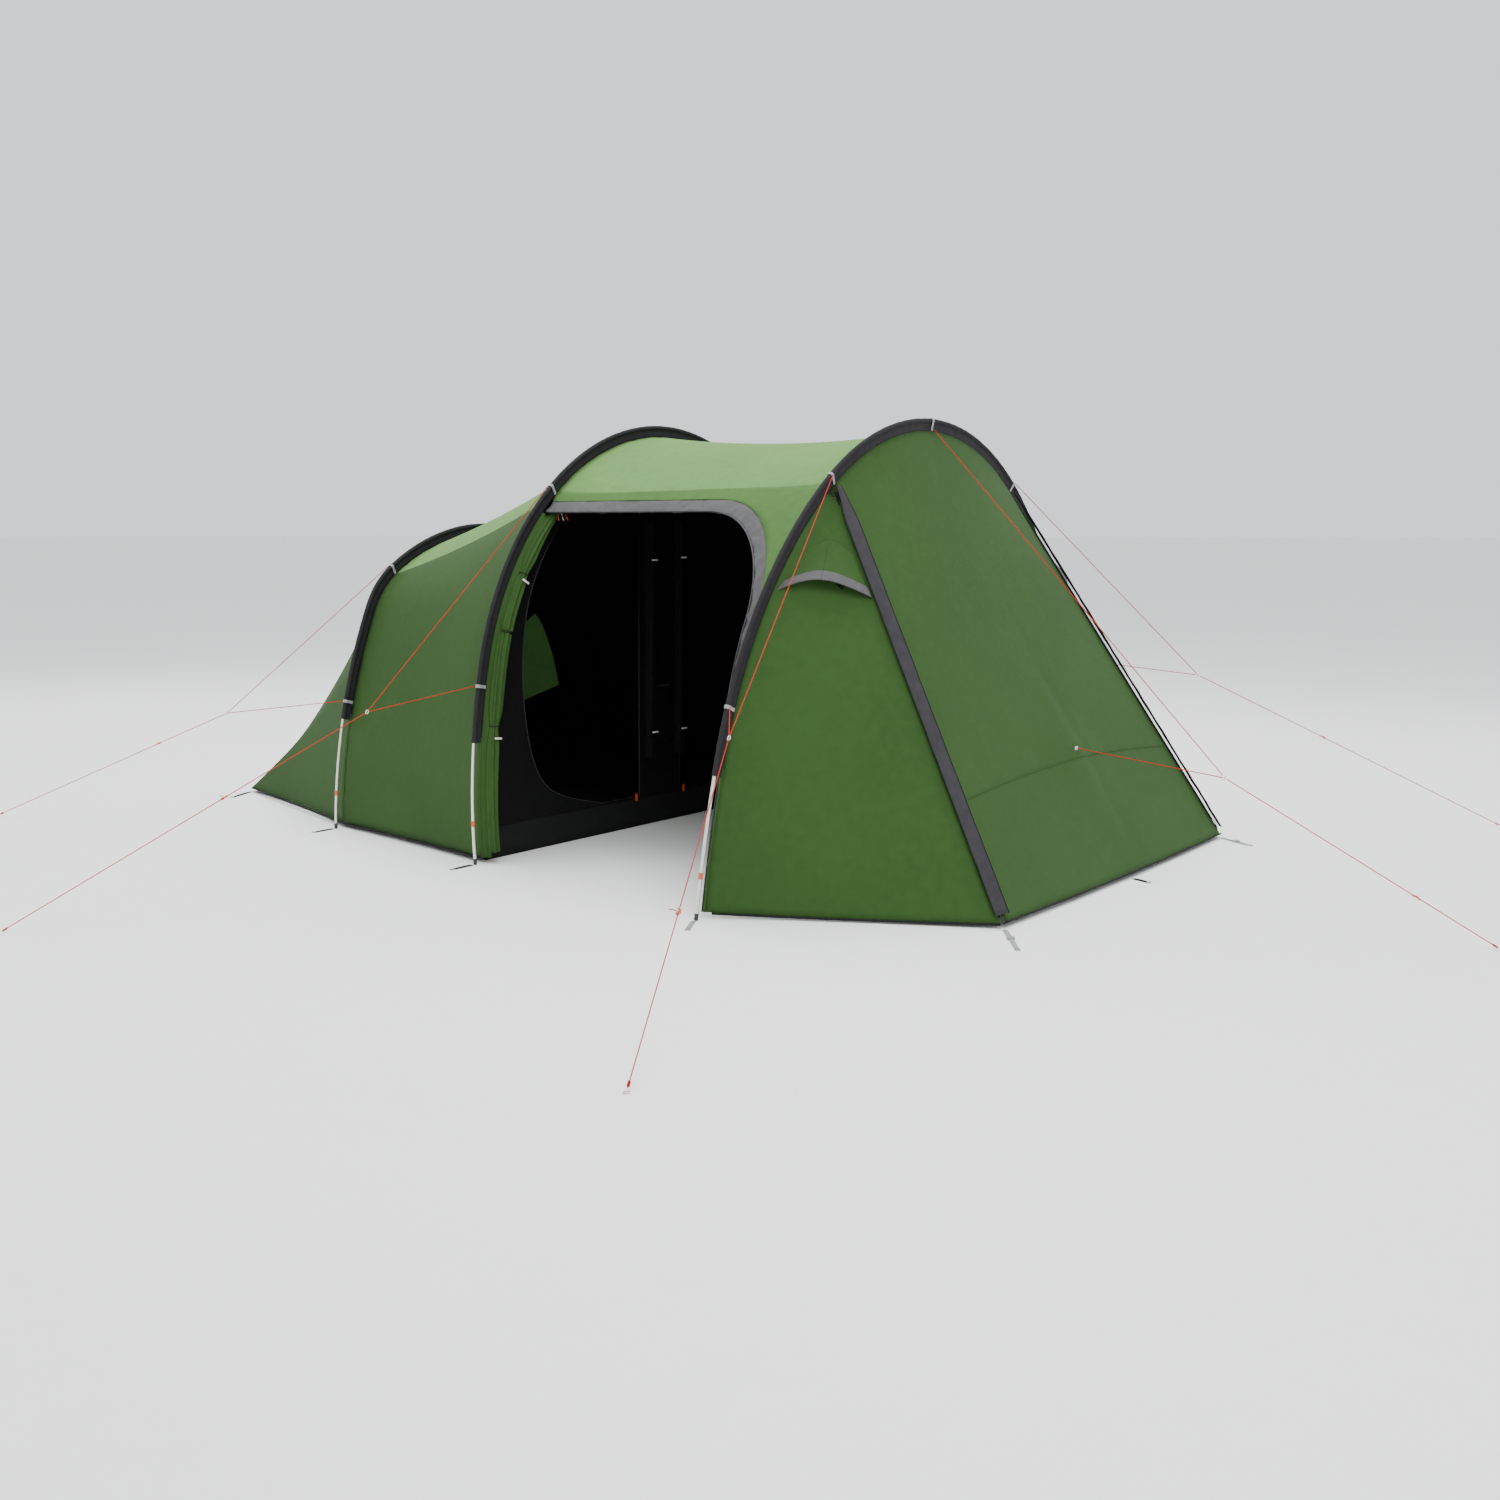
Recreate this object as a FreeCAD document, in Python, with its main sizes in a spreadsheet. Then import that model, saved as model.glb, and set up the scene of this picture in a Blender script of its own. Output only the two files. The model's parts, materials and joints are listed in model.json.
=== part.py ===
"""Three-hoop tunnel tent with a peaked porch, its inner tent and its guy lines, in millimetres.

Frame: +Z up, the tunnel runs along Y with the porch at -Y, and the open side door is on -X.
The origin is on the ground, at the middle of the footprint of the tent without its guy lines.
"""

import FreeCAD, Part
import math
import os
from FreeCAD import Placement, Rotation, Vector

# ---------------------------------------------------------------- driving dimensions
DIMENSIONS = [
    ("front_y", -1250, "front hoop's feet"),
    ("living_length", 1310, "front hoop to middle hoop"),
    ("bedroom_length", 1095, "middle hoop to rear hoop"),
    ("tail_length", 1190, "rear hoop to rear hem"),
    ("porch_depth", 917, "front hoop to porch corners"),
    ("porch_half_width", 1045, "porch corner from the centre plane"),
    ("porch_bow", 20, "how far the middle of the porch hem stands out"),
    ("tail_half_width", 460, "rear hem corner from the centre plane"),
    ("front_height", 1780, "ground to the outside of the sleeve"),
    ("front_crown_radius", 1320, ""),
    ("front_crown_angle", 35.2, "degrees each side of the top"),
    ("front_shoulder_radius", 1720, ""),
    ("front_shoulder_angle", 41, "degrees"),
    ("front_leg_radius", 4400, ""),
    ("front_lean", -2, "degrees from upright, towards the porch"),
    ("middle_height", 1795, ""),
    ("middle_crown_radius", 1200, ""),
    ("middle_crown_angle", 40, ""),
    ("middle_shoulder_radius", 1270, ""),
    ("middle_shoulder_angle", 38.8, ""),
    ("middle_leg_radius", 2700, ""),
    ("middle_lean", 0, ""),
    ("rear_height", 1360, ""),
    ("rear_crown_radius", 1115, ""),
    ("rear_crown_angle", 34.2, ""),
    ("rear_shoulder_radius", 420, ""),
    ("rear_shoulder_angle", 32.6, ""),
    ("rear_leg_radius", 2500, ""),
    ("rear_lean", 0, ""),
    ("pole_radius", 6.25, "alloy pole"),
    ("pole_wall", 0.8, ""),
    ("pole_section", 520, "longest pole section"),
    ("sleeve_radius", 9, "outside of the pole pocket"),
    ("sleeve_bore", 7, "inside of the pole pocket"),
    ("sleeve_depth", 50, "sleeve's outer edge to the fly"),
    ("sleeve_web", 3, "thickness of the sleeve's web"),
    ("sleeve_end", 485, "height of the sleeves' lower ends"),
    ("fly_thickness", 3, "fly panels, as stand-in sheets"),
    ("hem_height", 20, "ground to the fly's lower edge"),
    ("inner_gap", 60, "fly to inner tent"),
    ("inner_thickness", 2, ""),
    ("tub_height", 130, "groundsheet's walls"),
    ("door_top", 1445, "side door's top edge"),
    ("door_corner", 420, "side door's corner radius"),
    ("door_trim", 46, "width of the side door's trim"),
    ("flap_width", 50, "storm flaps"),
    ("flap_thickness", 2.5, ""),
    ("zip_width", 5, "zip chain"),
    ("zip_depth", 3, ""),
    ("slider_length", 24, "zip slider"),
    ("slider_width", 12, ""),
    ("slider_depth", 9, ""),
    ("strut_length", 29, "vent strut"),
    ("strut_radius", 2.5, ""),
    ("hood_thickness", 2.5, ""),
    ("guy_radius", 1.75, "guy cord"),
    ("guy_ring_radius", 7, "middle of the ring where a guy's branches meet"),
    ("guy_ring_wire", 2, ""),
    ("runner_length", 28, "guy-line runner"),
    ("runner_radius", 6.5, ""),
    ("runner_bore", 2.2, ""),
    ("band_width", 12, "webbing bands round the sleeves"),
    ("eyelet_outer", 10, "peg eyelets"),
    ("eyelet_bore", 6.5, ""),
    ("eyelet_thickness", 3, ""),
    ("strap_width", 16, "peg straps"),
    ("strap_thickness", 1.5, ""),
    ("toggle_length", 34, ""),
    ("toggle_radius", 4, ""),
]

doc = FreeCAD.newDocument("tunnel_tent")
sheet = doc.addObject("Spreadsheet::Sheet", "dimensions")
for row, (alias, value, note) in enumerate(DIMENSIONS, start=1):
    sheet.set(f"A{row}", alias)
    sheet.set(f"B{row}", str(value))
    sheet.set(f"C{row}", note)
    sheet.setAlias(f"B{row}", alias)
doc.recompute()

parts = []


def cell(alias):
    return float(sheet.get(alias))


# ---------------------------------------------------------------- document helpers
def keep(label, obj, placement=None):
    """Name a sub-part and list it for export."""
    obj.Label = label
    if placement is not None:
        obj.Placement = placement
    parts.append(obj)
    return obj


def feature(label, *solids):
    """A sub-part from Part's own functions: one solid, or a group of separate solids."""
    obj = doc.addObject("Part::Feature", label)
    obj.Shape = solids[0] if len(solids) == 1 else Part.makeCompound(list(solids))
    return keep(label, obj, Placement())


def primitive(kind, name, **bindings):
    """A Part primitive whose properties are bound to the sheet, or set where the value is a number."""
    obj = doc.addObject("Part::" + kind, name)
    for prop, value in bindings.items():
        if isinstance(value, str):
            obj.setExpression(prop, value)
        else:
            setattr(obj, prop, value)
    return obj


def cut(name, base, tool):
    obj = doc.addObject("Part::Cut", name)
    obj.Base = base
    obj.Tool = tool
    return obj


def group(label, members):
    """One node for a group of separate, identical pieces."""
    obj = doc.addObject("Part::Compound", label)
    obj.Links = members
    return keep(label, obj)


def axes_placement(origin, x_axis, z_axis):
    """The placement that puts local X along x_axis and local Z as near z_axis as it can be."""
    x = Vector(x_axis).normalize()
    y = Vector(z_axis).cross(x).normalize()
    z = x.cross(y)
    rows = [(x.x, y.x, z.x, origin.x), (x.y, y.y, z.y, origin.y), (x.z, y.z, z.z, origin.z), (0, 0, 0, 1)]
    matrix = FreeCAD.Matrix(*[number for row in rows for number in row])
    return Placement(matrix)


def along_placement(origin, direction):
    """The placement that puts local Z along a direction."""
    return Placement(origin, Rotation(Vector(0, 0, 1), direction))


# ---------------------------------------------------------------- geometry helpers
def between(a, b, share):
    return a + (b - a) * share


def line(a, b):
    return Part.LineSegment(a, b).toShape()


def prism(points, vector):
    return Part.Face(Part.makePolygon(list(points) + [points[0]])).extrude(vector)


def flattened(points, normal):
    """The points moved along a unit normal into the plane of the first one."""
    return [p - normal * (p - points[0]).dot(normal) for p in points]


def mirrored(shape):
    return shape.mirror(Vector(0, 0, 0), Vector(1, 0, 0))


def flip(point, side):
    """A point given for the +X side, on the side whose sign is given."""
    return Vector(point.x * side, point.y, point.z)


def rod(start, end, radius, start_gap=0.0, end_gap=0.0):
    """A straight round rod that stops short of its two ends by the gaps."""
    run = (end - start).normalize()
    first = start + run * start_gap
    last = end - run * end_gap
    return Part.makeCylinder(radius, (last - first).Length, first, run)


def loft(first, second):
    return Part.makeLoft([first, second], True, True)


class Hoop:
    """A pole's line: a crown arc, two shoulder arcs and two leg arcs, tangent to each other, in one plane.

    A place on it is the angle of its outward normal from upright, negative on the -X side. An inset goes
    from the sleeve's outer edge towards the tunnel, and a shift goes along the tunnel.
    """

    def __init__(self, name, foot_y):
        self.foot_y = foot_y
        self.lean = math.radians(cell(name + "_lean"))
        self.crown = math.radians(cell(name + "_crown_angle"))
        self.knee = self.crown + math.radians(cell(name + "_shoulder_angle"))
        self.radii = [cell(f"{name}_{arc}_radius") for arc in ("crown", "shoulder", "leg")]
        across = 0.0
        up = cell(name + "_height") - self.radii[0]
        self.centres = [(across, up)]
        for turn, before, after in zip((self.crown, self.knee), self.radii, self.radii[1:]):
            across += (before - after) * math.sin(turn)
            up += (before - after) * math.cos(turn)
            self.centres.append((across, up))

    def at(self, angle, inset=0.0, shift=0.0):
        turn = abs(angle)
        arc = int(turn > self.crown) + int(turn > self.knee)
        radius = self.radii[arc] - inset
        across = self.centres[arc][0] + radius * math.sin(turn)
        up = self.centres[arc][1] + radius * math.cos(turn)
        y = self.foot_y + up * math.sin(self.lean) + shift * math.cos(self.lean)
        z = up * math.cos(self.lean) - shift * math.sin(self.lean)
        return Vector(math.copysign(across, angle), y, z)

    def angle_at(self, height, inset=0.0):
        """The angle, on the +X side, at a height above the ground."""
        ends = (0.0, self.crown, self.knee, math.pi)
        for arc, (start, end) in enumerate(zip(ends, ends[1:])):
            cosine = (height / math.cos(self.lean) - self.centres[arc][1]) / (self.radii[arc] - inset)
            if abs(cosine) <= 1 and start <= math.acos(cosine) <= end:
                return math.acos(cosine)
        raise ValueError("the hoop has no such height")

    def angle_along(self, distance, inset):
        """The angle, on the +X side, at a distance along the hoop from its top."""
        ends = (0.0, self.crown, self.knee, math.pi)
        for arc, (start, end) in enumerate(zip(ends, ends[1:])):
            radius = self.radii[arc] - inset
            if distance <= radius * (end - start):
                return start + distance / radius
            distance -= radius * (end - start)
        raise ValueError("the hoop is not so long")

    def length_to(self, angle, inset):
        """The distance along the hoop from its top to an angle on the +X side."""
        ends = (0.0, self.crown, self.knee, math.pi)
        spans = zip(self.radii, ends, ends[1:])
        return sum((radius - inset) * max(0.0, min(angle, end) - start) for radius, start, end in spans)

    def edges(self, start, end, inset, shift=0.0):
        """The arcs from one angle to another, split where the radius changes."""
        low, high = min(start, end), max(start, end)
        bends = [a for a in (-self.knee, -self.crown, self.crown, self.knee) if low < a < high]
        stops = [start] + sorted(bends, reverse=end < start) + [end]
        arcs = []
        for a, b in zip(stops, stops[1:]):
            points = [self.at(angle, inset, shift) for angle in (a, (a + b) / 2, b)]
            arcs.append(Part.Arc(*points).toShape())
        return arcs

    def strip(self, start, end, inset, thickness, shift=0.0):
        """A closed outline along the hoop, as thick as a sheet."""
        deep = inset + thickness
        out = self.edges(start, end, inset, shift)
        back = self.edges(end, start, deep, shift)
        far_cap = line(self.at(end, inset, shift), self.at(end, deep, shift))
        near_cap = line(self.at(start, deep, shift), self.at(start, inset, shift))
        return Part.Wire(out + [far_cap] + back + [near_cap])

    def normal(self):
        return Vector(0, math.cos(self.lean), -math.sin(self.lean))

    def inward(self, angle):
        return (self.at(angle, 1) - self.at(angle, 0)).normalize()

    def down(self, angle):
        """Along the hoop, away from its top."""
        run = self.inward(angle).cross(self.normal())
        return run * math.copysign(1, -run.z)

    def section(self, angle):
        """A function from (inset, shift) to a point of the hoop's cross-section at an angle."""
        origin, inward, normal = self.at(angle), self.inward(angle), self.normal()
        return lambda inset, shift: origin + inward * inset + normal * shift


def strip_between(points, depth):
    """A closed outline along a row of points, as deep as the vector given."""
    back = [p + depth for p in reversed(points)]
    loop = points + back + points[:1]
    return Part.Wire([line(a, b) for a, b in zip(loop, loop[1:])])


def swept(path, profile):
    return Part.Wire(path).makePipeShell([Part.Wire(profile)], True, False)


def swept_tube(hoop, start, end, inset, outer, inner, shift=0.0):
    """A round tube along a hoop, between two angles; solid where the inner radius is 0."""
    path = hoop.edges(start, end, inset, shift)
    centre = hoop.at(start, inset, shift)
    direction = hoop.inward(start).cross(hoop.normal())
    circles = [Part.makeCircle(radius, centre, direction) for radius in (outer, inner) if radius]
    solids = [swept(path, [circle]) for circle in circles]
    return solids[0].cut(solids[1]) if inner else solids[0]


# ---------------------------------------------------------------- places shared by several parts
FRONT_Y = cell("front_y")
MIDDLE_Y = FRONT_Y + cell("living_length")
REAR_Y = MIDDLE_Y + cell("bedroom_length")
TAIL_Y = REAR_Y + cell("tail_length")
PORCH_Y = FRONT_Y - cell("porch_depth")
HEM = cell("hem_height")
SHEET = cell("fly_thickness")
FLY = cell("sleeve_depth") + 0.5
POLE = cell("sleeve_radius")

front = Hoop("front", FRONT_Y)
middle = Hoop("middle", MIDDLE_Y)
rear = Hoop("rear", REAR_Y)
HOOPS = {"front": front, "middle": middle, "rear": rear}

porch_corner = Vector(cell("porch_half_width"), PORCH_Y, HEM)
porch_middle = Vector(0, PORCH_Y - cell("porch_bow"), HEM)
tail_corner = Vector(cell("tail_half_width"), TAIL_Y, HEM)


# ---------------------------------------------------------------- poles
TIP_TOP = 23
TIP_RADIUS = 7.5


def pole_arch(name, hoop):
    """The pole sections inside a sleeve, butted end to end."""
    end = hoop.angle_at(cell("sleeve_end"), POLE)
    half = hoop.length_to(end, POLE)
    count = math.ceil(2 * half / cell("pole_section"))
    joints = [-half + 2 * half * i / count for i in range(count + 1)]
    angles = [math.copysign(hoop.angle_along(abs(d), POLE), d) for d in joints]
    outer = cell("pole_radius")
    tubes = [
        swept_tube(hoop, a, b, POLE, outer, outer - cell("pole_wall"))
        for a, b in zip(angles, angles[1:])
    ]
    feature(name + "_pole_arch", *tubes)


def pole_leg(hoop, side):
    """The bare lowest section, from the sleeve's end to the tip."""
    top = hoop.angle_at(cell("sleeve_end"), POLE)
    bottom = hoop.angle_at(TIP_TOP, POLE)
    outer = cell("pole_radius")
    return swept_tube(hoop, side * top, side * bottom, POLE, outer, outer - cell("pole_wall"))


def pole_tip(hoop, side):
    """A plastic tip under a leg, in line with it, with its rim on the ground."""
    angle = side * hoop.angle_at(TIP_TOP, POLE)
    down = hoop.down(angle)
    tilt = math.hypot(down.x, down.y)
    length = (TIP_TOP - TIP_RADIUS * tilt) / -down.z
    return Part.makeCylinder(TIP_RADIUS, length, hoop.at(angle, POLE), down)


def leg_ferrule(hoop, side, height):
    """The collar where a bare leg's two sections meet."""
    angle = side * hoop.angle_at(height, POLE)
    down = hoop.down(angle)
    start = hoop.at(angle, POLE)
    ring = Part.makeCylinder(cell("pole_radius") + 1.8, 22, start, down)
    return ring.cut(Part.makeCylinder(cell("pole_radius") + 0.4, 22, start, down))


FERRULE_HEIGHTS = {"front": 160, "middle": 175, "rear": 168}

for name, hoop in HOOPS.items():
    pole_arch(name, hoop)
feature("pole_legs", *[pole_leg(hoop, side) for hoop in HOOPS.values() for side in (-1, 1)])
feature("pole_tips", *[pole_tip(hoop, side) for hoop in HOOPS.values() for side in (-1, 1)])
feature(
    "leg_ferrules",
    *[
        leg_ferrule(HOOPS[name], side, height)
        for name, height in FERRULE_HEIGHTS.items()
        for side in (-1, 1)
    ],
)


# ---------------------------------------------------------------- sleeves and their webbing bands
def sleeve(hoop):
    """A round pole pocket with a flat web down to the fly, swept along the hoop."""
    end = hoop.angle_at(cell("sleeve_end"), POLE)
    spot = hoop.section(-end)
    radius, half_web = cell("sleeve_radius"), cell("sleeve_web") / 2
    neck = radius + math.sqrt(radius**2 - half_web**2)
    depth = cell("sleeve_depth")
    outline = [
        Part.Arc(spot(neck, half_web), spot(0, 0), spot(neck, -half_web)).toShape(),
        line(spot(neck, -half_web), spot(depth, -half_web)),
        line(spot(depth, -half_web), spot(depth, half_web)),
        line(spot(depth, half_web), spot(neck, half_web)),
    ]
    solid = swept(hoop.edges(-end, end, POLE), outline)
    bore = swept_tube(hoop, -end, end, POLE, cell("sleeve_bore"), 0)
    return solid.cut(bore)


def webbing_band(hoop, angle):
    """A webbing loop over the sleeve, sewn to the fly on both sides of it."""
    spot = hoop.section(angle)
    inner, outer = POLE + 0.5, POLE + 1.7
    foot = cell("sleeve_depth") - 3
    outline = [
        spot(foot, outer),
        spot(-1.5, outer),
        spot(-1.5, -outer),
        spot(foot, -outer),
        spot(foot, -inner),
        spot(-0.3, -inner),
        spot(-0.3, inner),
        spot(foot, inner),
    ]
    run = hoop.down(angle) * cell("band_width")
    return prism([p - run * 0.5 for p in outline], run)


LOW_BAND = {"front": 720, "middle": 710, "rear": 565}

for name, hoop in HOOPS.items():
    feature(name + "_sleeve", sleeve(hoop))
bands = [webbing_band(front, 0.0)]
for name, hoop in HOOPS.items():
    for side in (-1, 1):
        bands.append(webbing_band(hoop, side * hoop.crown))
        bands.append(webbing_band(hoop, side * hoop.angle_at(LOW_BAND[name], 0)))
feature("webbing_bands", *bands)


# ---------------------------------------------------------------- fly over the living area and the bedroom
def side_panel(first, second, side):
    """The fly from the shoulder seam to the hem, between two hoops."""
    strips = []
    for hoop, shift in ((first, 1), (second, -1)):
        end = hoop.angle_at(HEM, FLY)
        strips.append(hoop.strip(side * hoop.crown, side * end, FLY, SHEET, shift))
    return loft(*strips)


def roof_panel(first, second):
    """The fly between the two shoulder seams."""
    ends = ((first, 1), (second, -1))
    strips = [hoop.strip(-hoop.crown, hoop.crown, FLY, SHEET, shift) for hoop, shift in ends]
    return loft(*strips)


def side_door_hole(trim):
    """A solid through the -X side panel, inside the door's trim by the width given."""
    top = cell("door_top") - trim
    corner = cell("door_corner")
    lean = math.tan(front.lean)
    jamb = FRONT_Y + 38 + trim * 0.6
    back = MIDDLE_Y - 16
    low, bend = -10, top - corner
    foot = Vector(-2000, jamb + low * lean, low)
    knee = Vector(-2000, jamb + bend * lean, bend)
    head = Vector(-2000, jamb + bend * lean + corner, top)
    slant = math.radians(45)
    middle_of_arc = Vector(-2000, head.y - corner * math.sin(slant), bend + corner * math.cos(slant))
    rear_top = Vector(-2000, back, top)
    rear_low = Vector(-2000, back, low)
    wire = Part.Wire(
        [
            line(foot, knee),
            Part.Arc(knee, middle_of_arc, head).toShape(),
            line(head, rear_top),
            line(rear_top, rear_low),
            line(rear_low, foot),
        ]
    )
    return Part.Face(wire).extrude(Vector(1900, 0, 0))


open_side = side_panel(front, middle, -1)
whole_hole = side_door_hole(0)
feature("living_roof", roof_panel(front, middle))
feature("living_left_side", open_side.cut(whole_hole))
feature("living_right_side", side_panel(front, middle, 1))
feature("side_door_trim", open_side.common(whole_hole).cut(side_door_hole(cell("door_trim"))))
feature("bedroom_roof", roof_panel(middle, rear))
feature("bedroom_left_side", side_panel(middle, rear, -1))
feature("bedroom_right_side", side_panel(middle, rear, 1))


# ---------------------------------------------------------------- sloping tail behind the rear hoop
TAIL_SPLIT = 770
SEAM_GAP = 8


def tail_back(inset, thickness, corner, low):
    """The tail from the rear hoop's upper part down to the straight rear hem."""
    split = rear.angle_at(TAIL_SPLIT, inset)
    lengths = [rear.length_to(angle, inset) for angle in (0.0, rear.crown, rear.knee, split)]
    shares = [length / lengths[-1] for length in lengths[:0:-1]]
    places = [-share for share in shares] + list(reversed(shares))
    half = corner.x - SEAM_GAP
    hem = [Vector(half * place, corner.y, low) for place in places]
    top = rear.strip(-split, split, inset, thickness, 1)
    return loft(top, strip_between(hem, Vector(0, -thickness * 1.4, 0)))


def tail_side(inset, thickness, corner, low, side):
    """The tail from a rear leg to the rear corner."""
    split = rear.angle_at(TAIL_SPLIT - SEAM_GAP / 2, inset)
    end = rear.angle_at(low, inset)
    top = rear.strip(side * split, side * end, inset, thickness, 1)
    upper = flip(Vector(corner.x, corner.y, low + 6), side)
    lower = flip(Vector(corner.x, corner.y, low), side)
    return loft(top, strip_between([upper, lower], Vector(-thickness * side, 0, 0)))


feature("tail_back", tail_back(FLY, SHEET, tail_corner, HEM))
feature("tail_left_side", tail_side(FLY, SHEET, tail_corner, HEM, -1))
feature("tail_right_side", tail_side(FLY, SHEET, tail_corner, HEM, 1))


# ---------------------------------------------------------------- porch
DOOR_EDGE = 14
PANEL_EDGE = 16
DOOR_INSET = 75
zip_top = front.at(front.crown, FLY + 5, -12)
zip_foot = porch_corner
zip_run = (zip_foot - zip_top).normalize()
foot_inside = front.at(front.angle_at(HEM, DOOR_INSET), DOOR_INSET, -5)
to_foot = foot_inside - zip_top
to_door = (to_foot - zip_run * to_foot.dot(zip_run)).normalize()
door_out = to_door.cross(zip_run).normalize()
if door_out.y > 0:
    door_out = door_out * -1

front_face_out = Vector(0, -(zip_top.z - HEM), zip_top.y - PORCH_Y).normalize()


def zip_point(share, towards_door=0.0):
    return between(zip_top, zip_foot, share) + to_door * towards_door


def porch_front():
    """The panel between the two zips, from the front hoop's crown to the porch hem."""
    trim = PANEL_EDGE / front.radii[0]
    top = front.edges(trim - front.crown, front.crown - trim, FLY, -4)[0]
    left = flip(porch_corner, -1) + Vector(PANEL_EDGE, 0, 0)
    right = porch_corner - Vector(PANEL_EDGE, 0, 0)
    hem = Part.Arc(left, porch_middle, right).toShape()
    return Part.makeRuledSurface(top, hem).extrude(front_face_out * -SHEET)


def door_edge_point(height):
    """Where the porch door meets the front sleeve, at a height."""
    return front.at(front.angle_at(height, DOOR_INSET), DOOR_INSET, -5)


def door_point(share, height):
    """A point of the porch door: share 0 is at the front sleeve and 1 at the zip."""
    drop = (zip_top.z - height) / (zip_top.z - zip_foot.z)
    return between(door_edge_point(height), zip_point(drop, DOOR_EDGE), share)


def porch_door():
    """The curved three-cornered door between the front sleeve and the zip, with its vent cut out."""
    start = front.crown + math.radians(2)
    end = front.angle_at(HEM, DOOR_INSET)
    arc = front.strip(start, end, DOOR_INSET, SHEET, -5)
    shoulder = front.length_to(front.knee, DOOR_INSET) - front.length_to(start, DOOR_INSET)
    whole = front.length_to(end, DOOR_INSET) - front.length_to(start, DOOR_INSET)
    shares = (0.03, 0.03 + 0.97 * shoulder / whole, 1.0)
    edge = [zip_point(share, DOOR_EDGE) for share in shares]
    panel = loft(arc, strip_between(edge, door_out * -SHEET))
    window = [door_point(share, height) - door_out * 60 for share, height in VENT_WINDOW]
    return panel.cut(prism(flattened(window, door_out), door_out * 150))


VENT_WINDOW = ((0.30, 1266), (0.62, 1266), (0.68, 1197), (0.22, 1197))
HOOD_TOP, HOOD_LOW = 1300, 1105
hood_hinge = (door_point(0.28, HOOD_TOP), door_point(0.76, HOOD_TOP))
hood_foot = (door_point(0.27, HOOD_LOW), door_point(0.86, HOOD_LOW))
hood_axis = (hood_hinge[1] - hood_hinge[0]).normalize()
HOOD_LIFT = 50


def vent_hood():
    """A flap hinged along its top edge, with an arched lower edge held off the door by its strut."""
    clear = door_out * 9
    lift = door_out * (HOOD_LIFT + 9)
    low_left, low_right = hood_foot[0] + lift, hood_foot[1] + lift
    arch = between(low_left, low_right, 0.5) + (hood_hinge[0] - hood_foot[0]) * 0.22
    quarter = [between(low_left, arch, 0.6), between(low_right, arch, 0.6)]
    hinge = [place + clear for place in hood_hinge]
    outline = [hinge[0], low_left, quarter[0], arch, quarter[1], low_right, hinge[1]]
    face_normal = (outline[1] - outline[0]).cross(outline[-1] - outline[0]).normalize()
    if face_normal.dot(door_out) < 0:
        face_normal = face_normal * -1
    return prism(flattened(outline, face_normal), face_normal * cell("hood_thickness"))


STRUT_RISE = math.radians(52)
strut_foot = door_point(0.46, 1187) + door_out * 5.5
strut_run = door_out * math.sin(STRUT_RISE) + door_out.cross(hood_axis) * math.cos(STRUT_RISE)


def storm_flap(side, label):
    """A stiff strip over the zip, sewn to the door."""
    flap = primitive(
        "Box",
        label,
        Length=(zip_foot - zip_top).Length - 70,
        Width="dimensions.flap_width",
        Height="dimensions.flap_thickness",
    )
    corner = flip(zip_top + zip_run * 45 + flap_out * 16, side) - across_for(side) * (cell("flap_width") / 2)
    keep(label, flap, axes_placement(corner, flip(zip_run, side), flip(flap_out, side)))


flap_out = (door_out + front_face_out).normalize()
flap_out = (flap_out - zip_run * flap_out.dot(zip_run)).normalize()


def across_for(side):
    """The storm flap's width direction on a side."""
    return flip(flap_out, side).cross(flip(zip_run, side)).normalize()


def zip_parts(side, name):
    """The zip's chain along the door's free edge, and the slider that runs on it."""
    run = flip(zip_run, side)
    out = flip(flap_out, side)
    across = across_for(side)
    length = (zip_foot - zip_top).Length
    start = flip(zip_top, side)
    chain = primitive(
        "Box",
        name + "_chain",
        Length=length - 60,
        Width="dimensions.zip_width",
        Height="dimensions.zip_depth",
    )
    corner = start + run * 30 - across * (cell("zip_width") / 2) - out * (cell("zip_depth") / 2)
    chain.Placement = axes_placement(corner, run, out)
    block = primitive(
        "Box",
        name + "_slider_block",
        Length="dimensions.slider_length",
        Width="dimensions.slider_width",
        Height="dimensions.slider_depth",
    )
    slot = primitive(
        "Box",
        name + "_slider_slot",
        Length="dimensions.slider_length + 2",
        Width="dimensions.zip_width + 1",
        Height="dimensions.zip_depth + 1",
    )
    slot.setExpression("Placement.Base.x", "-1")
    slot.setExpression("Placement.Base.y", "(dimensions.slider_width - dimensions.zip_width - 1) / 2")
    slot.setExpression("Placement.Base.z", "(dimensions.slider_depth - dimensions.zip_depth - 1) / 2")
    slider = cut(name + "_slider", block, slot)
    rest = start + run * (length - 70)
    rest -= across * (cell("slider_width") / 2) + out * (cell("slider_depth") / 2)
    keep(name + "_slider", slider, axes_placement(rest, run, out))
    return chain


feature("porch_front_panel", porch_front())
door_shape = porch_door()
feature("right_porch_door", door_shape)
feature("left_porch_door", mirrored(door_shape))
storm_flap(1, "right_storm_flap")
storm_flap(-1, "left_storm_flap")
group("porch_zip_chains", [zip_parts(1, "right_zip"), zip_parts(-1, "left_zip")])
hood_shape = vent_hood()
feature("right_vent_hood", hood_shape)
feature("left_vent_hood", mirrored(hood_shape))
for side, name in ((1, "right"), (-1, "left")):
    strut = primitive(
        "Cylinder",
        name + "_vent_strut",
        Radius="dimensions.strut_radius",
        Height="dimensions.strut_length",
    )
    keep(name + "_vent_strut", strut, along_placement(flip(strut_foot, side), flip(strut_run, side)))


# ---------------------------------------------------------------- gathered side door, its toggles and hems
BUNDLE_INSET, BUNDLE_SHIFT, BUNDLE_RADIUS = 82, -34, 24


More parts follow.
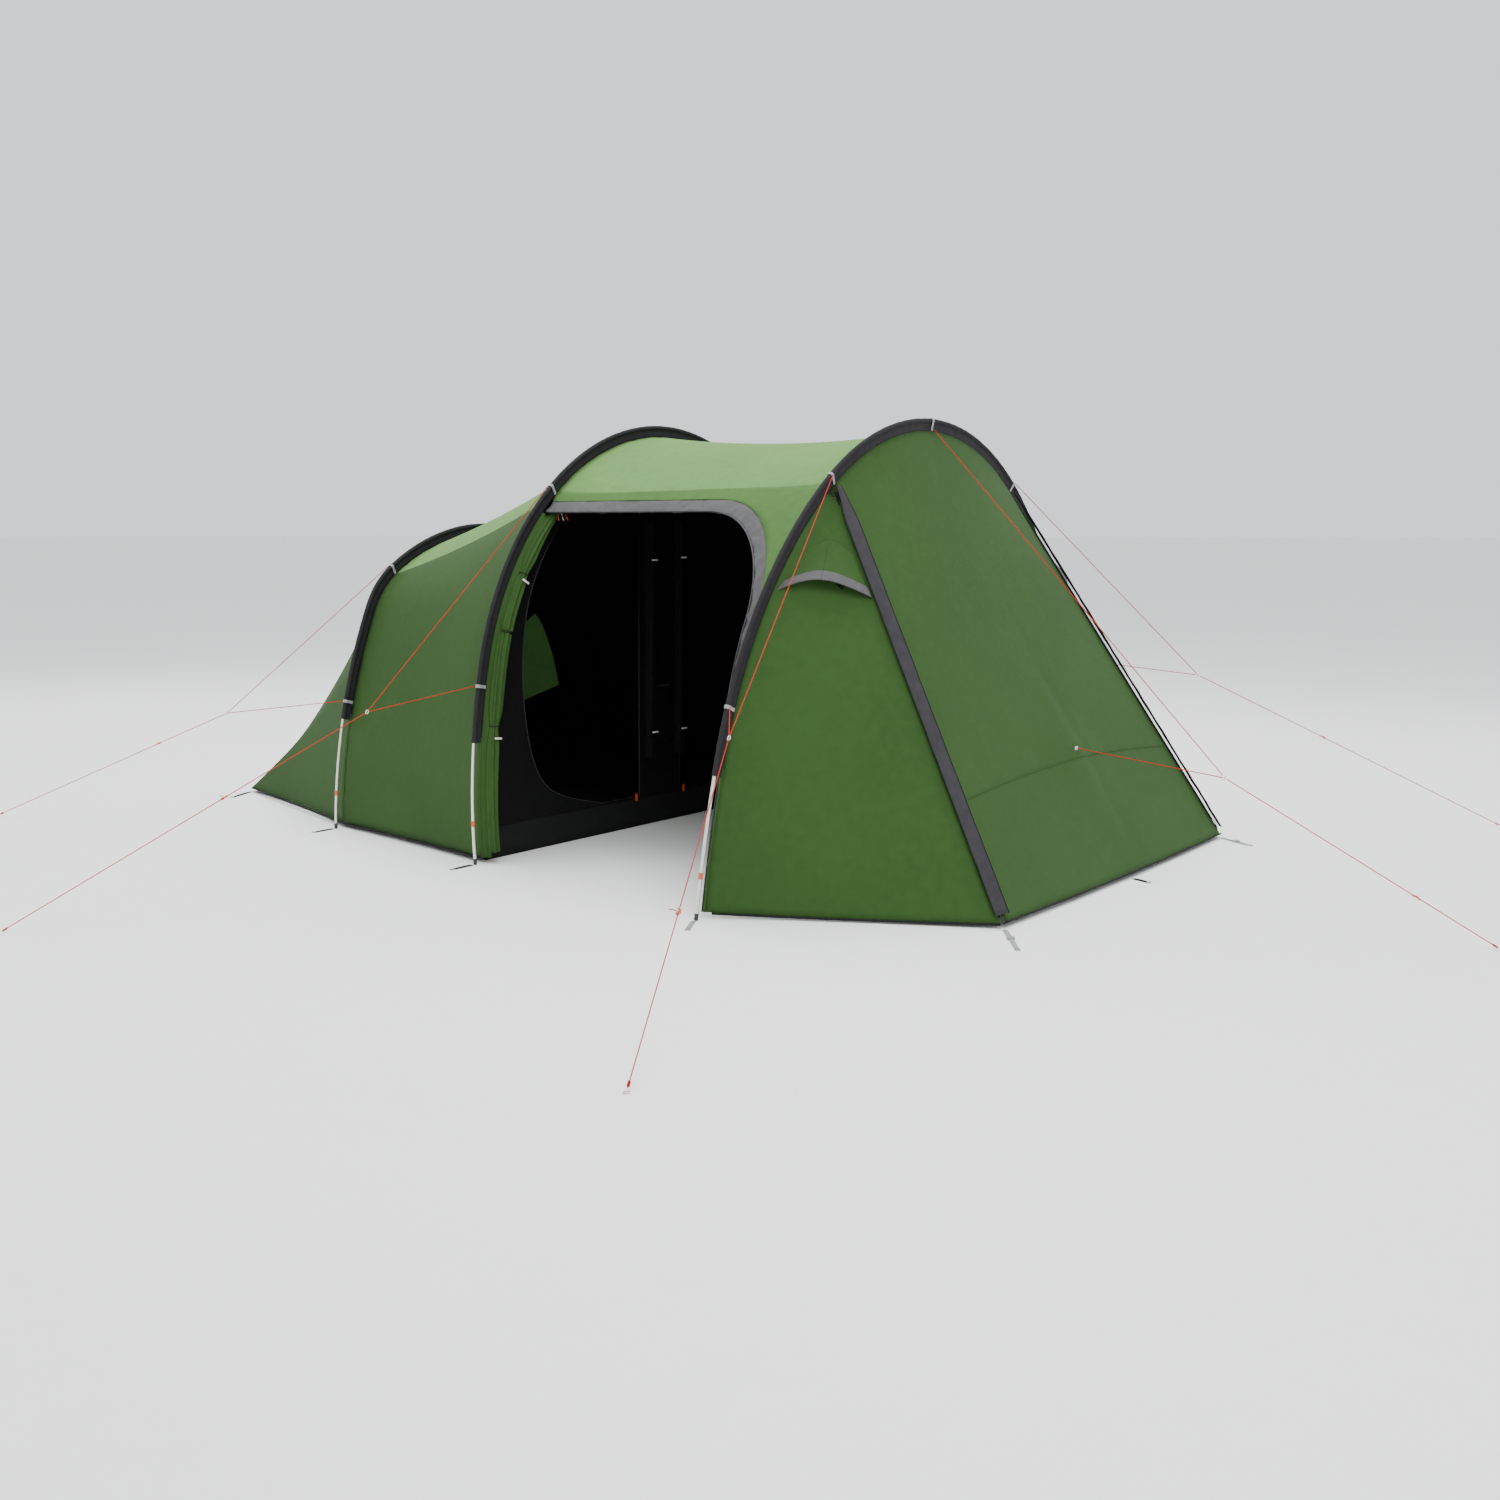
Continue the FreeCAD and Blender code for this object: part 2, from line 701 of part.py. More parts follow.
def door_bundle():
    """The side door's fabric, gathered along the middle hoop from its top down to the ground."""
    top = middle.angle_at(1400, BUNDLE_INSET)
    bottom = middle.angle_at(45, BUNDLE_INSET)
    return swept_tube(middle, -top, -bottom, BUNDLE_INSET, BUNDLE_RADIUS, 0, BUNDLE_SHIFT)


def toggle(label, centre, direction):
    rod_shape = primitive(
        "Cylinder",
        label,
        Radius="dimensions.toggle_radius",
        Height="dimensions.toggle_length",
    )
    rod_shape.Placement = along_placement(centre - direction * (cell("toggle_length") / 2), direction)
    return rod_shape


def bundle_toggle(index, height):
    """A toggle on the front of the gathered door."""
    angle = -middle.angle_at(height, BUNDLE_INSET)
    spot = middle.at(angle, BUNDLE_INSET, BUNDLE_SHIFT - BUNDLE_RADIUS - cell("toggle_radius") - 1)
    return toggle(f"bundle_toggle_{index}", spot, middle.inward(angle))


def hem_tape(points):
    """Round piping under a straight hem."""
    return [rod(a, b, 3, 2, 2) for a, b in zip(points, points[1:])]


def hem_point(hoop, side):
    point = hoop.at(side * hoop.angle_at(HEM, FLY), FLY)
    return Vector(point.x, point.y, HEM - 4)


def ground_line(point, side, drop=4):
    return Vector(point.x * side, point.y, HEM - drop)


feature("side_door_bundle", door_bundle())
group("door_toggles", [bundle_toggle(i, height) for i, height in enumerate((1120, 500))])
right_hems = hem_tape([*[hem_point(hoop, 1) for hoop in (front, middle, rear)], ground_line(tail_corner, 1)])
left_hems = hem_tape([hem_point(middle, -1), hem_point(rear, -1), ground_line(tail_corner, -1)])
tail_hem = hem_tape([ground_line(tail_corner, -1), ground_line(tail_corner, 1)])
porch_places = ((porch_corner, -1), (porch_middle, 1), (porch_corner, 1))
porch_hem = hem_tape([ground_line(place, side, 6) for place, side in porch_places])
feature("hem_piping", *(right_hems + left_hems + tail_hem + porch_hem))


# ---------------------------------------------------------------- pegging points
def pegging_points():
    """Pairs of the place where a strap starts and the place where its peg eyelet lies."""
    pairs = []
    for side in (-1, 1):
        for hoop, reach, lead in ((front, 118, -62), (middle, 110, 0), (rear, 110, 0)):
            foot = hoop.at(side * hoop.angle_at(TIP_TOP, POLE), POLE)
            start = Vector(foot.x + side * 18, foot.y, 0)
            pairs.append((start, start + Vector(side * reach, lead, 0)))
        pairs.append((Vector(side * 475, TAIL_Y - 8, 0), Vector(side * 645, TAIL_Y - 80, 0)))
    eyelet_y = -TAIL_Y - 3 + cell("eyelet_outer")
    pairs.append((Vector(-1062, PORCH_Y - 14, 0), Vector(-1290, eyelet_y, 0)))
    pairs.append((Vector(1030, PORCH_Y - 14, 0), Vector(925, eyelet_y, 0)))
    pairs.append((Vector(-12, PORCH_Y - 34, 0), Vector(-50, PORCH_Y - 112, 0)))
    return pairs


def strap(start, eyelet):
    run = (eyelet - start).normalize()
    end = eyelet - run * (cell("eyelet_outer") + 0.5)
    across = Vector(-run.y, run.x, 0) * (cell("strap_width") / 2)
    corners = [start + across, end + across, end - across, start - across]
    return prism(corners, Vector(0, 0, cell("strap_thickness")))


def eyelet_ring(index, centre):
    thickness = "dimensions.eyelet_thickness"
    disc = primitive("Cylinder", f"eyelet_disc_{index}", Radius="dimensions.eyelet_outer", Height=thickness)
    hole = primitive("Cylinder", f"eyelet_hole_{index}", Radius="dimensions.eyelet_bore", Height=thickness)
    ring = cut(f"eyelet_{index}", disc, hole)
    ring.Placement = Placement(centre, Rotation())
    return ring


def strap_buckle(start, eyelet):
    """A ladder-lock buckle round a strap, with the strap's slot through it."""
    run = (eyelet - start).normalize()
    across = Vector(-run.y, run.x, 0)
    base = between(start, eyelet, 0.4)
    slot_half = cell("strap_width") / 2 + 1
    outer_half = slot_half + 4
    low, high = cell("strap_thickness") + 0.5, 7
    frame = [(-outer_half, 0), (-slot_half, 0), (-slot_half, low), (slot_half, low)]
    frame += [(slot_half, 0), (outer_half, 0), (outer_half, high), (-outer_half, high)]
    outline = [base + across * a + Vector(0, 0, b) for a, b in frame]
    return prism(outline, run * 26)


pegging = pegging_points()
feature("peg_straps", *[strap(*pair) for pair in pegging])
group("peg_eyelets", [eyelet_ring(i, pair[1]) for i, pair in enumerate(pegging)])
feature("strap_buckles", *[strap_buckle(*pegging[i]) for i in (8, 9)])


# ---------------------------------------------------------------- inner tent
INNER = FLY + cell("inner_gap")
THIN = cell("inner_thickness")
TUB = cell("tub_height")
WALL_Y = MIDDLE_Y + 26
REAR_INNER = INNER + 20
tail_inside = tail_corner - Vector(60, 190, 0)


def inner_wall():
    """The inner tent's front wall, with its two D-shaped door openings."""
    shift = WALL_Y - MIDDLE_Y
    end = middle.angle_at(TUB, INNER)
    rim = middle.edges(-end, end, INNER, shift)
    base = line(middle.at(end, INNER, shift), middle.at(-end, INNER, shift))
    wall = Part.Face(Part.Wire(rim + [base])).extrude(Vector(0, THIN, 0))
    for side in (-1, 1):
        wall = wall.cut(inner_door_hole(side))
    return wall


def inner_door_hole(side):
    """A D-shaped door: straight beside the middle strip, round on the outer side."""
    corners = [
        Vector(150, 0, TUB + 8),
        Vector(420, 0, TUB + 8),
        Vector(790, 0, 270),
        Vector(915, 0, 640),
        Vector(870, 0, 1060),
        Vector(640, 0, 1385),
        Vector(400, 0, 1440),
        Vector(150, 0, 1440),
    ]
    points = [Vector(p.x * side, WALL_Y - 5, p.z) for p in corners]
    wire = Part.Wire(
        [
            line(points[0], points[1]),
            Part.Arc(points[1], points[2], points[3]).toShape(),
            Part.Arc(points[3], points[4], points[5]).toShape(),
            line(points[5], points[6]),
            line(points[6], points[7]),
            line(points[7], points[0]),
        ]
    )
    return Part.Face(wire).extrude(Vector(0, 12, 0))


def inner_canopy():
    """Roof and side walls of the inner tent, from the front wall to the rear hoop."""
    strips = []
    for hoop, inset, shift in ((middle, INNER, WALL_Y - MIDDLE_Y + THIN + 0.5), (rear, REAR_INNER, 0)):
        end = hoop.angle_at(TUB, inset)
        strips.append(hoop.strip(-end, end, inset, THIN, shift))
    return loft(*strips)


def window_block():
    """The space of the mesh window in the inner tent's rear wall."""
    return Part.makeBox(270, 420, 500, Vector(450, REAR_Y + 20, 440))


def inner_rear():
    back = tail_back(REAR_INNER, THIN, tail_inside, TUB)
    sides = [tail_side(REAR_INNER, THIN, tail_inside, TUB, side) for side in (-1, 1)]
    return [back] + sides


def groundsheet():
    """A tub: a flat floor with low walls under the inner tent's walls."""
    front_half = middle.at(middle.angle_at(TUB, INNER), INNER).x
    rear_half = rear.at(rear.angle_at(TUB, REAR_INNER), REAR_INNER).x
    rows = [(front_half, WALL_Y), (rear_half, REAR_Y), (tail_inside.x, tail_inside.y)]

    def outline(margin, level):
        right = [Vector(half - margin, y, level) for half, y in rows]
        right[0].y += margin
        right[-1].y -= margin
        return right + [Vector(-p.x, p.y, p.z) for p in reversed(right)]

    tub = prism(outline(0, 0), Vector(0, 0, TUB - 0.5))
    return tub.cut(prism(outline(3, 3), Vector(0, 0, TUB)))


inner_back = inner_rear()
window = window_block()
feature("inner_front_wall", inner_wall())
feature("inner_canopy", inner_canopy())
feature("inner_rear_wall", *[piece.cut(window) for piece in inner_back])
window_pieces = [piece.common(window) for piece in inner_back]
feature("inner_window_mesh", *[piece for piece in window_pieces if piece.Volume > 1])
feature("groundsheet", groundsheet())


def inner_door_roll(index, side):
    roll = primitive("Cylinder", f"inner_roll_{index}", Radius=26, Height=1080)
    roll.Placement = Placement(Vector(side * 108, WALL_Y - 29, 300), Rotation())
    return roll


group("inner_door_rolls", [inner_door_roll(i, side) for i, side in enumerate((-1, 1))])
pocket = primitive("Box", "organiser_pocket", Length=140, Width=12, Height=260)
keep("organiser_pocket", pocket, Placement(Vector(-70, WALL_Y - 14, 360), Rotation()))
inner_toggles = [
    toggle(f"inner_toggle_{i}", Vector(side * 108, WALL_Y - 62, height), Vector(1, 0, 0))
    for i, (side, height) in enumerate(((-1, 1194), (1, 1203), (-1, 423), (1, 421)))
]
group("inner_toggles", inner_toggles)


def inner_slider(side, label):
    """The pull of an inner door's zip, on the lower straight run beside the middle strip."""
    pull = primitive("Box", label, Length=10, Width=6, Height=32)
    keep(label, pull, Placement(Vector(side * 175 - 5, WALL_Y - 8, TUB - 12), Rotation()))


inner_slider(-1, "left_inner_zip_pull")
inner_slider(1, "right_inner_zip_pull")


# ---------------------------------------------------------------- guy lines
GUY_ATTACH = 13


def guy_exit(hoop, angle, towards):
    """Where a guy leaves the side of a webbing band."""
    return hoop.at(angle, 4, math.copysign(GUY_ATTACH, towards.y - hoop.foot_y))


# The ring where each guy's branches meet, the peg end on the ground and the runner's share of the main leg.
GUYS = {
    "front_left": (Vector(-1782, -1568, 670), Vector(-3086, -2196, 0), 0.562),
    "front_right": (Vector(1455, -1906, 664), Vector(2015, -3114, 0), 0.414),
    "middle_left": (Vector(-1671, 194, 638), Vector(-3005, 511, 0), 0.42),
    "rear_left": (Vector(-1111, 1713, 494), Vector(-1637, 2705, 0), 0.298),
    "centre": (Vector(-201, -2619, 442), Vector(-437, -3604, 0), 0.715),
}
TAB_HEIGHT = 481


def panel_tab():
    """The sewn tab in the middle of the porch front panel that the centre guy's lower branch pulls on."""
    share = (front.at(0.0, FLY).z - TAB_HEIGHT) / (front.at(0.0, FLY).z - HEM)
    return between(front.at(0.0, FLY, -1), porch_middle, share)


tab_at = panel_tab()
tab = primitive("Box", "panel_guy_tab", Length=26, Width=6, Height=14)
keep("panel_guy_tab", tab, Placement(tab_at + Vector(-13, -10.8, -7), Rotation()))


def guy_starts(name, meeting):
    """Where a guy's upper and lower branches start."""
    if name == "centre":
        return [front.at(0.0, 44, -GUY_ATTACH), tab_at + Vector(0, -12, 0)]
    hoop_name, side_name = name.split("_")
    hoop = HOOPS[hoop_name]
    side = -1 if side_name == "left" else 1
    angles = (side * hoop.crown, side * hoop.angle_at(LOW_BAND[hoop_name], 0))
    return [guy_exit(hoop, angle, meeting) for angle in angles]


def guy_line(name):
    """A guy's two branches and main leg, straight and taut, with room for its ring and end loop."""
    meeting, peg, _ = GUYS[name]
    radius = cell("guy_radius")
    ring_gap = cell("guy_ring_radius") + cell("guy_ring_wire") + 1
    peg_up = peg + Vector(0, 0, radius + 0.5)
    loop_gap = ring_gap + 6
    legs = [rod(start, meeting, radius, 1, ring_gap) for start in guy_starts(name, meeting)]
    legs.append(rod(meeting, peg_up, radius, ring_gap, loop_gap))
    return legs


def ring(label, centre, tilt):
    torus = primitive(
        "Torus",
        label,
        Radius1="dimensions.guy_ring_radius",
        Radius2="dimensions.guy_ring_wire",
    )
    torus.Placement = along_placement(centre, tilt)
    return torus


for name in GUYS:
    feature(name + "_guy", *guy_line(name))
rings = []
for name, (meeting, peg, _) in GUYS.items():
    rings.append(ring(name + "_ring", meeting, Vector(0, 1, 0.3)))
    rings.append(ring(name + "_end_loop", peg + Vector(0, 0, cell("guy_ring_wire")), Vector(0, 0, 1)))
group("guy_rings", rings)
for name, (meeting, peg, share) in GUYS.items():
    length = "dimensions.runner_length"
    body = primitive("Cylinder", name + "_runner_body", Radius="dimensions.runner_radius", Height=length)
    bore = primitive("Cylinder", name + "_runner_bore", Radius="dimensions.runner_bore", Height=length)
    peg_up = peg + Vector(0, 0, cell("guy_radius") + 0.5)
    leg = (peg_up - meeting).normalize()
    place = between(meeting, peg_up, share) - leg * 14
    keep(name + "_runner", cut(name + "_runner", body, bore), along_placement(place, leg))


# ---------------------------------------------------------------- checks and export
doc.recompute()
for obj in doc.Objects:
    if "Invalid" in obj.State or "Error" in obj.State:
        raise RuntimeError(f"{obj.Name} failed: {obj.State}")
os.makedirs("parts", exist_ok=True)
for obj in parts:
    if obj.Shape.isNull() or not obj.Shape.isValid():
        raise RuntimeError(f"{obj.Label} has no valid shape")
    obj.Shape.exportStep(f"parts/{obj.Label}.step")
print(len(parts), "sub-parts")
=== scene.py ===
"""The looks of the tunnel tent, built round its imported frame. Metres, +Z up, porch at -Y."""

import json
import math

import bmesh
import bpy
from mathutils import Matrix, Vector, noise


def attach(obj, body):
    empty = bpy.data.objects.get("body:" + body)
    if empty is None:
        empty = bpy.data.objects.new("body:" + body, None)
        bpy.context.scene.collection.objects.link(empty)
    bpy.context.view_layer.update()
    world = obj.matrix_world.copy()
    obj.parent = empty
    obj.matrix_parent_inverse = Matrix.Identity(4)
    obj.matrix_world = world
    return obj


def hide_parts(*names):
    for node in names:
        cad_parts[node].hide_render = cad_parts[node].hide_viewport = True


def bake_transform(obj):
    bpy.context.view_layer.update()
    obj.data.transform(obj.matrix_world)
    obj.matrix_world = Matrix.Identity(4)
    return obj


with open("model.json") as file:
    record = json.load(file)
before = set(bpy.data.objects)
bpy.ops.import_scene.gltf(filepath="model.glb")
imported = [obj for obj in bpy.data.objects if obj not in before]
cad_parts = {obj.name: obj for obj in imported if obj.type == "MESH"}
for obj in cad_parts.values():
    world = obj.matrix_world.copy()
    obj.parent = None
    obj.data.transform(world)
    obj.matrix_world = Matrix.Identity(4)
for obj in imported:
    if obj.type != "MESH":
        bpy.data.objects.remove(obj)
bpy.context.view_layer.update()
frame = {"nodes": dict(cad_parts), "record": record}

ROOT = "tent"
FRONT_Y, MIDDLE_Y, REAR_Y, TAIL_Y, PORCH_Y = -1.250, 0.060, 1.155, 2.345, -2.167
HEM = 0.020
FLY = 0.0515
POLE = 0.009
PORCH_HALF, TAIL_HALF, PORCH_BOW = 1.045, 0.460, 0.020


# ---------------------------------------------------------------- the hoops' lines
class Hoop:
    """A pole's line in one plane: crown, shoulder and leg arcs. A place on it is its normal's angle."""

    def __init__(self, foot_y, height, radii, crown, shoulder, lean=0.0):
        self.foot_y, self.radii = foot_y, radii
        self.lean = math.radians(lean)
        self.crown = math.radians(crown)
        self.knee = self.crown + math.radians(shoulder)
        across, up = 0.0, height - radii[0]
        self.centres = [(across, up)]
        for turn, before, after in zip((self.crown, self.knee), radii, radii[1:]):
            across += (before - after) * math.sin(turn)
            up += (before - after) * math.cos(turn)
            self.centres.append((across, up))
        self.ends = (0.0, self.crown, self.knee, math.pi)

    def at(self, angle, inset=0.0, shift=0.0):
        turn = abs(angle)
        arc = int(turn > self.crown) + int(turn > self.knee)
        radius = self.radii[arc] - inset
        across = self.centres[arc][0] + radius * math.sin(turn)
        up = self.centres[arc][1] + radius * math.cos(turn)
        y = self.foot_y + up * math.sin(self.lean) + shift * math.cos(self.lean)
        z = up * math.cos(self.lean) - shift * math.sin(self.lean)
        return Vector((math.copysign(across, angle), y, z))

    def angle_at(self, height, inset=0.0):
        for arc, (start, end) in enumerate(zip(self.ends, self.ends[1:])):
            cosine = (height / math.cos(self.lean) - self.centres[arc][1]) / (self.radii[arc] - inset)
            if abs(cosine) <= 1 and start <= math.acos(cosine) <= end:
                return math.acos(cosine)
        raise ValueError("the hoop has no such height")

    def length_to(self, angle, inset=0.0):
        spans = zip(self.radii, self.ends, self.ends[1:])
        return sum((r - inset) * max(0.0, min(angle, end) - start) for r, start, end in spans)

    def angle_along(self, distance, inset=0.0):
        side = math.copysign(1, distance)
        distance = abs(distance)
        for radius, start, end in zip(self.radii, self.ends, self.ends[1:]):
            if distance <= (radius - inset) * (end - start):
                return side * (start + distance / (radius - inset))
            distance -= (radius - inset) * (end - start)
        raise ValueError("the hoop is not so long")

    def normal(self):
        return Vector((0, math.cos(self.lean), -math.sin(self.lean)))

    def inward(self, angle):
        return (self.at(angle, 0.001) - self.at(angle)).normalized()

    def spots(self, start, end, count, inset):
        """Angles evenly spaced along the hoop between two angles."""
        a = math.copysign(self.length_to(abs(start), inset), start)
        b = math.copysign(self.length_to(abs(end), inset), end)
        return [self.angle_along(a + (b - a) * i / count, inset) for i in range(count + 1)]


front = Hoop(FRONT_Y, 1.780, (1.320, 1.720, 4.400), 35.2, 41.0, -2.0)
middle = Hoop(MIDDLE_Y, 1.795, (1.200, 1.270, 2.700), 40.0, 38.8)
rear = Hoop(REAR_Y, 1.360, (1.115, 0.420, 2.500), 34.2, 32.6)
HOOPS = {"front": front, "middle": middle, "rear": rear}
LOW_BAND = {"front": 0.720, "middle": 0.710, "rear": 0.565}
SLEEVE_END = 0.485


# ---------------------------------------------------------------- camera and light
def add_camera():
    data = bpy.data.cameras.new("camera")
    data.sensor_width = 36.0
    data.lens = 41.76
    data.shift_y = -0.0946
    data.clip_end = 600.0
    camera = bpy.data.objects.new("camera", data)
    camera.location = (-6.2525, -4.7414, 1.328)
    camera.rotation_euler = (math.radians(90 - 2.573), 0, math.radians(-55.326))
    bpy.context.scene.collection.objects.link(camera)
    bpy.context.scene.camera = camera


def add_area(name, place, target, size, power):
    data = bpy.data.lights.new(name, "AREA")
    data.shape = "DISK"
    data.size = size
    data.energy = power
    light = bpy.data.objects.new(name, data)
    light.location = place
    light.rotation_euler = (Vector(target) - Vector(place)).to_track_quat("-Z", "Y").to_euler()
    bpy.context.scene.collection.objects.link(light)


add_camera()
add_area("key", (-5.0, -5.5, 7.0), (0, 0, 0.8), 5.0, 420)
add_area("top", (0.5, 0.5, 8.5), (0, 0, 0.5), 7.0, 750)
add_area("fill", (6.0, -3.0, 4.0), (0, 0, 0.8), 5.0, 50)
add_area("back", (2.0, 8.0, 5.0), (0, 0, 0.8), 5.0, 160)

world = bpy.data.worlds.new("studio")
world.use_nodes = True
world.node_tree.nodes["Background"].inputs[0].default_value = (0.95, 0.97, 1.0, 1)
world.node_tree.nodes["Background"].inputs[1].default_value = 1.25
bpy.context.scene.world = world


# ---------------------------------------------------------------- materials
def node(tree, kind, **settings):
    made = tree.nodes.new(kind)
    for key, value in settings.items():
        if key.startswith("in_"):
            made.inputs[int(key[3:])].default_value = value
        else:
            setattr(made, key, value)
    return made


def start_material(name, colour, roughness, metallic=0.0):
    material = bpy.data.materials.new(name)
    material.use_nodes = True
    tree = material.node_tree
    shader = tree.nodes["Principled BSDF"]
    shader.inputs["Base Color"].default_value = (*colour, 1)
    shader.inputs["Roughness"].default_value = roughness
    shader.inputs["Metallic"].default_value = metallic
    return material, tree, shader


def patchy_colour(tree, shader, colour, spread, scales):
    """Base colour that drifts a little, in broad patches and in fine ones."""
    coords = node(tree, "ShaderNodeTexCoord")
    dark = tuple(c * (1 - spread) for c in colour) + (1,)
    light = tuple(min(1.0, c * (1 + spread)) for c in colour) + (1,)
    previous = None
    for scale in scales:
        grain = node(tree, "ShaderNodeTexNoise")
        grain.inputs["Scale"].default_value = scale
        grain.inputs["Detail"].default_value = 4.0
        tree.links.new(coords.outputs["Object"], grain.inputs["Vector"])
        if previous is None:
            previous = grain.outputs["Fac"]
            continue
        blend = node(tree, "ShaderNodeMath", operation="MULTIPLY_ADD", in_1=0.5, in_2=0.0)
        tree.links.new(grain.outputs["Fac"], blend.inputs[0])
        joined = node(tree, "ShaderNodeMath", operation="MULTIPLY_ADD", in_1=0.5)
        tree.links.new(previous, joined.inputs[0])
        tree.links.new(blend.outputs[0], joined.inputs[2])
        previous = joined.outputs[0]
    ramp = node(tree, "ShaderNodeValToRGB")
    ramp.color_ramp.elements[0].position = 0.32
    ramp.color_ramp.elements[0].color = dark
    ramp.color_ramp.elements[1].position = 0.68
    ramp.color_ramp.elements[1].color = light
    tree.links.new(previous, ramp.inputs["Fac"])
    tree.links.new(ramp.outputs["Color"], shader.inputs["Base Color"])
    return coords


def texture(tree, kind, coords, scale, **settings):
    """A texture node on the object's own coordinates."""
    made = node(tree, kind, **settings)
    made.inputs["Scale"].default_value = scale
    tree.links.new(coords.outputs["Object"], made.inputs["Vector"])
    return made


def add_bump(tree, shader, height, strength, distance):
    bump = node(tree, "ShaderNodeBump")
    bump.inputs["Strength"].default_value = strength
    bump.inputs["Distance"].default_value = distance
    tree.links.new(height, bump.inputs["Height"])
    tree.links.new(bump.outputs["Normal"], shader.inputs["Normal"])


WAVES_PER_METRE = 0.314  # a wave texture's scale is this over the distance between its bands


def woven(name, colour, thread=0.0012, ripstop=0.0, spread=0.10, relief=0.25):
    """Coated cloth: a fine weave, an optional ripstop grid, and colour that varies with handling."""
    material, tree, shader = start_material(name, colour, 0.78)
    coords = patchy_colour(tree, shader, colour, spread, (2.3, 31.0))
    shader.inputs["Sheen Weight"].default_value = 0.01
    shader.inputs["Sheen Roughness"].default_value = 0.5
    shader.inputs["Specular IOR Level"].default_value = 0.12
    heights = []
    for axis in ("X", "Y", "Z"):
        bands = {"wave_type": "BANDS", "bands_direction": axis}
        wave = texture(tree, "ShaderNodeTexWave", coords, WAVES_PER_METRE / thread, **bands)
        wave.inputs["Distortion"].default_value = 0.6
        heights.append(wave.outputs["Fac"])
        if ripstop:
            scale = WAVES_PER_METRE / ripstop
            rib = texture(tree, "ShaderNodeTexWave", coords, scale, wave_profile="SAW", **bands)
            peak = node(tree, "ShaderNodeMath", operation="POWER", in_1=9.0)
            tree.links.new(rib.outputs["Fac"], peak.inputs[0])
            heights.append(peak.outputs[0])
    total = heights[0]
    for height in heights[1:]:
        add = node(tree, "ShaderNodeMath", operation="ADD")
        tree.links.new(total, add.inputs[0])
        tree.links.new(height, add.inputs[1])
        total = add.outputs[0]
    add_bump(tree, shader, total, relief, 0.0006)
    return material


def moulded(name, colour, roughness=0.45, metallic=0.0, grain=400.0):
    """Plastic or metal with a fine surface grain and small wear in its roughness."""
    material, tree, shader = start_material(name, colour, roughness, metallic)
    coords = patchy_colour(tree, shader, colour, 0.06, (14.0, 160.0))
    fine = texture(tree, "ShaderNodeTexNoise", coords, grain)
    wear = node(tree, "ShaderNodeMapRange", in_3=max(0.05, roughness - 0.12), in_4=min(1.0, roughness + 0.15))
    tree.links.new(fine.outputs["Fac"], wear.inputs["Value"])
    tree.links.new(wear.outputs["Result"], shader.inputs["Roughness"])
    add_bump(tree, shader, fine.outputs["Fac"], 0.12, 0.0004)
    return material


WOVEN = {
    # roof_fabric is fly_fabric painted lighter: painted light on the roofs from the lamps above and from
    # daylight through the thin cloth.
    "roof_fabric": ((0.115, 0.235, 0.066), {"ripstop": 0.006}),
    "fly_fabric": ((0.029, 0.071, 0.0155), {"ripstop": 0.006}),
    # side_fabric is fly_fabric painted lighter: painted light on the left side.
    "side_fabric": ((0.062, 0.140, 0.034), {"ripstop": 0.006}),
    "trim_fabric": ((0.085, 0.084, 0.088), {"thread": 0.0016, "spread": 0.18}),
    "flap_fabric": ((0.034, 0.033, 0.037), {"thread": 0.0016, "spread": 0.2}),
    "sleeve_fabric": ((0.020, 0.019, 0.021), {"thread": 0.0016, "spread": 0.2}),
    "hem_tape": ((0.012, 0.012, 0.013), {"thread": 0.0018}),
    "webbing": ((0.30, 0.30, 0.31), {"thread": 0.0022, "relief": 0.5}),
    "tab_webbing": ((0.62, 0.60, 0.56), {"thread": 0.0022, "relief": 0.5}),
    # inner_fabric and groundsheet_fabric are the inner tent's own dark cloth, darkened further as painted
    # shade of the tent's inside.
    "inner_fabric": ((0.004, 0.004, 0.0042), {"thread": 0.0014, "spread": 0.25}),
    "groundsheet_fabric": ((0.010, 0.0105, 0.0105), {"thread": 0.0025, "relief": 0.4}),
    "guy_cord": ((0.46, 0.032, 0.016), {"thread": 0.0011, "relief": 0.6, "spread": 0.15}),
}
MOULDED = {
    "pole_alloy": ((0.74, 0.72, 0.66), {"roughness": 0.34, "metallic": 0.85}),
    "eyelet_metal": ((0.50, 0.50, 0.50), {"roughness": 0.35, "metallic": 1.0}),
    "ring_metal": ((0.72, 0.60, 0.58), {"roughness": 0.4, "metallic": 0.6}),
    "zip_metal": ((0.55, 0.55, 0.54), {"roughness": 0.4, "metallic": 0.9}),
    "pole_tip_plastic": ((0.02, 0.02, 0.021), {}),
    "ferrule_plastic": ((0.52, 0.10, 0.03), {}),
    "buckle_plastic": ((0.30, 0.30, 0.31), {}),
    "toggle_plastic": ((0.72, 0.70, 0.66), {}),
    "runner_plastic": ((0.62, 0.06, 0.02), {}),
    "strut_plastic": ((0.015, 0.015, 0.016), {}),
    "zip_coil": ((0.008, 0.008, 0.009), {"grain": 900.0}),
}
M = {name: woven(name, colour, **more) for name, (colour, more) in WOVEN.items()}
M.update({name: moulded(name, colour, **more) for name, (colour, more) in MOULDED.items()})


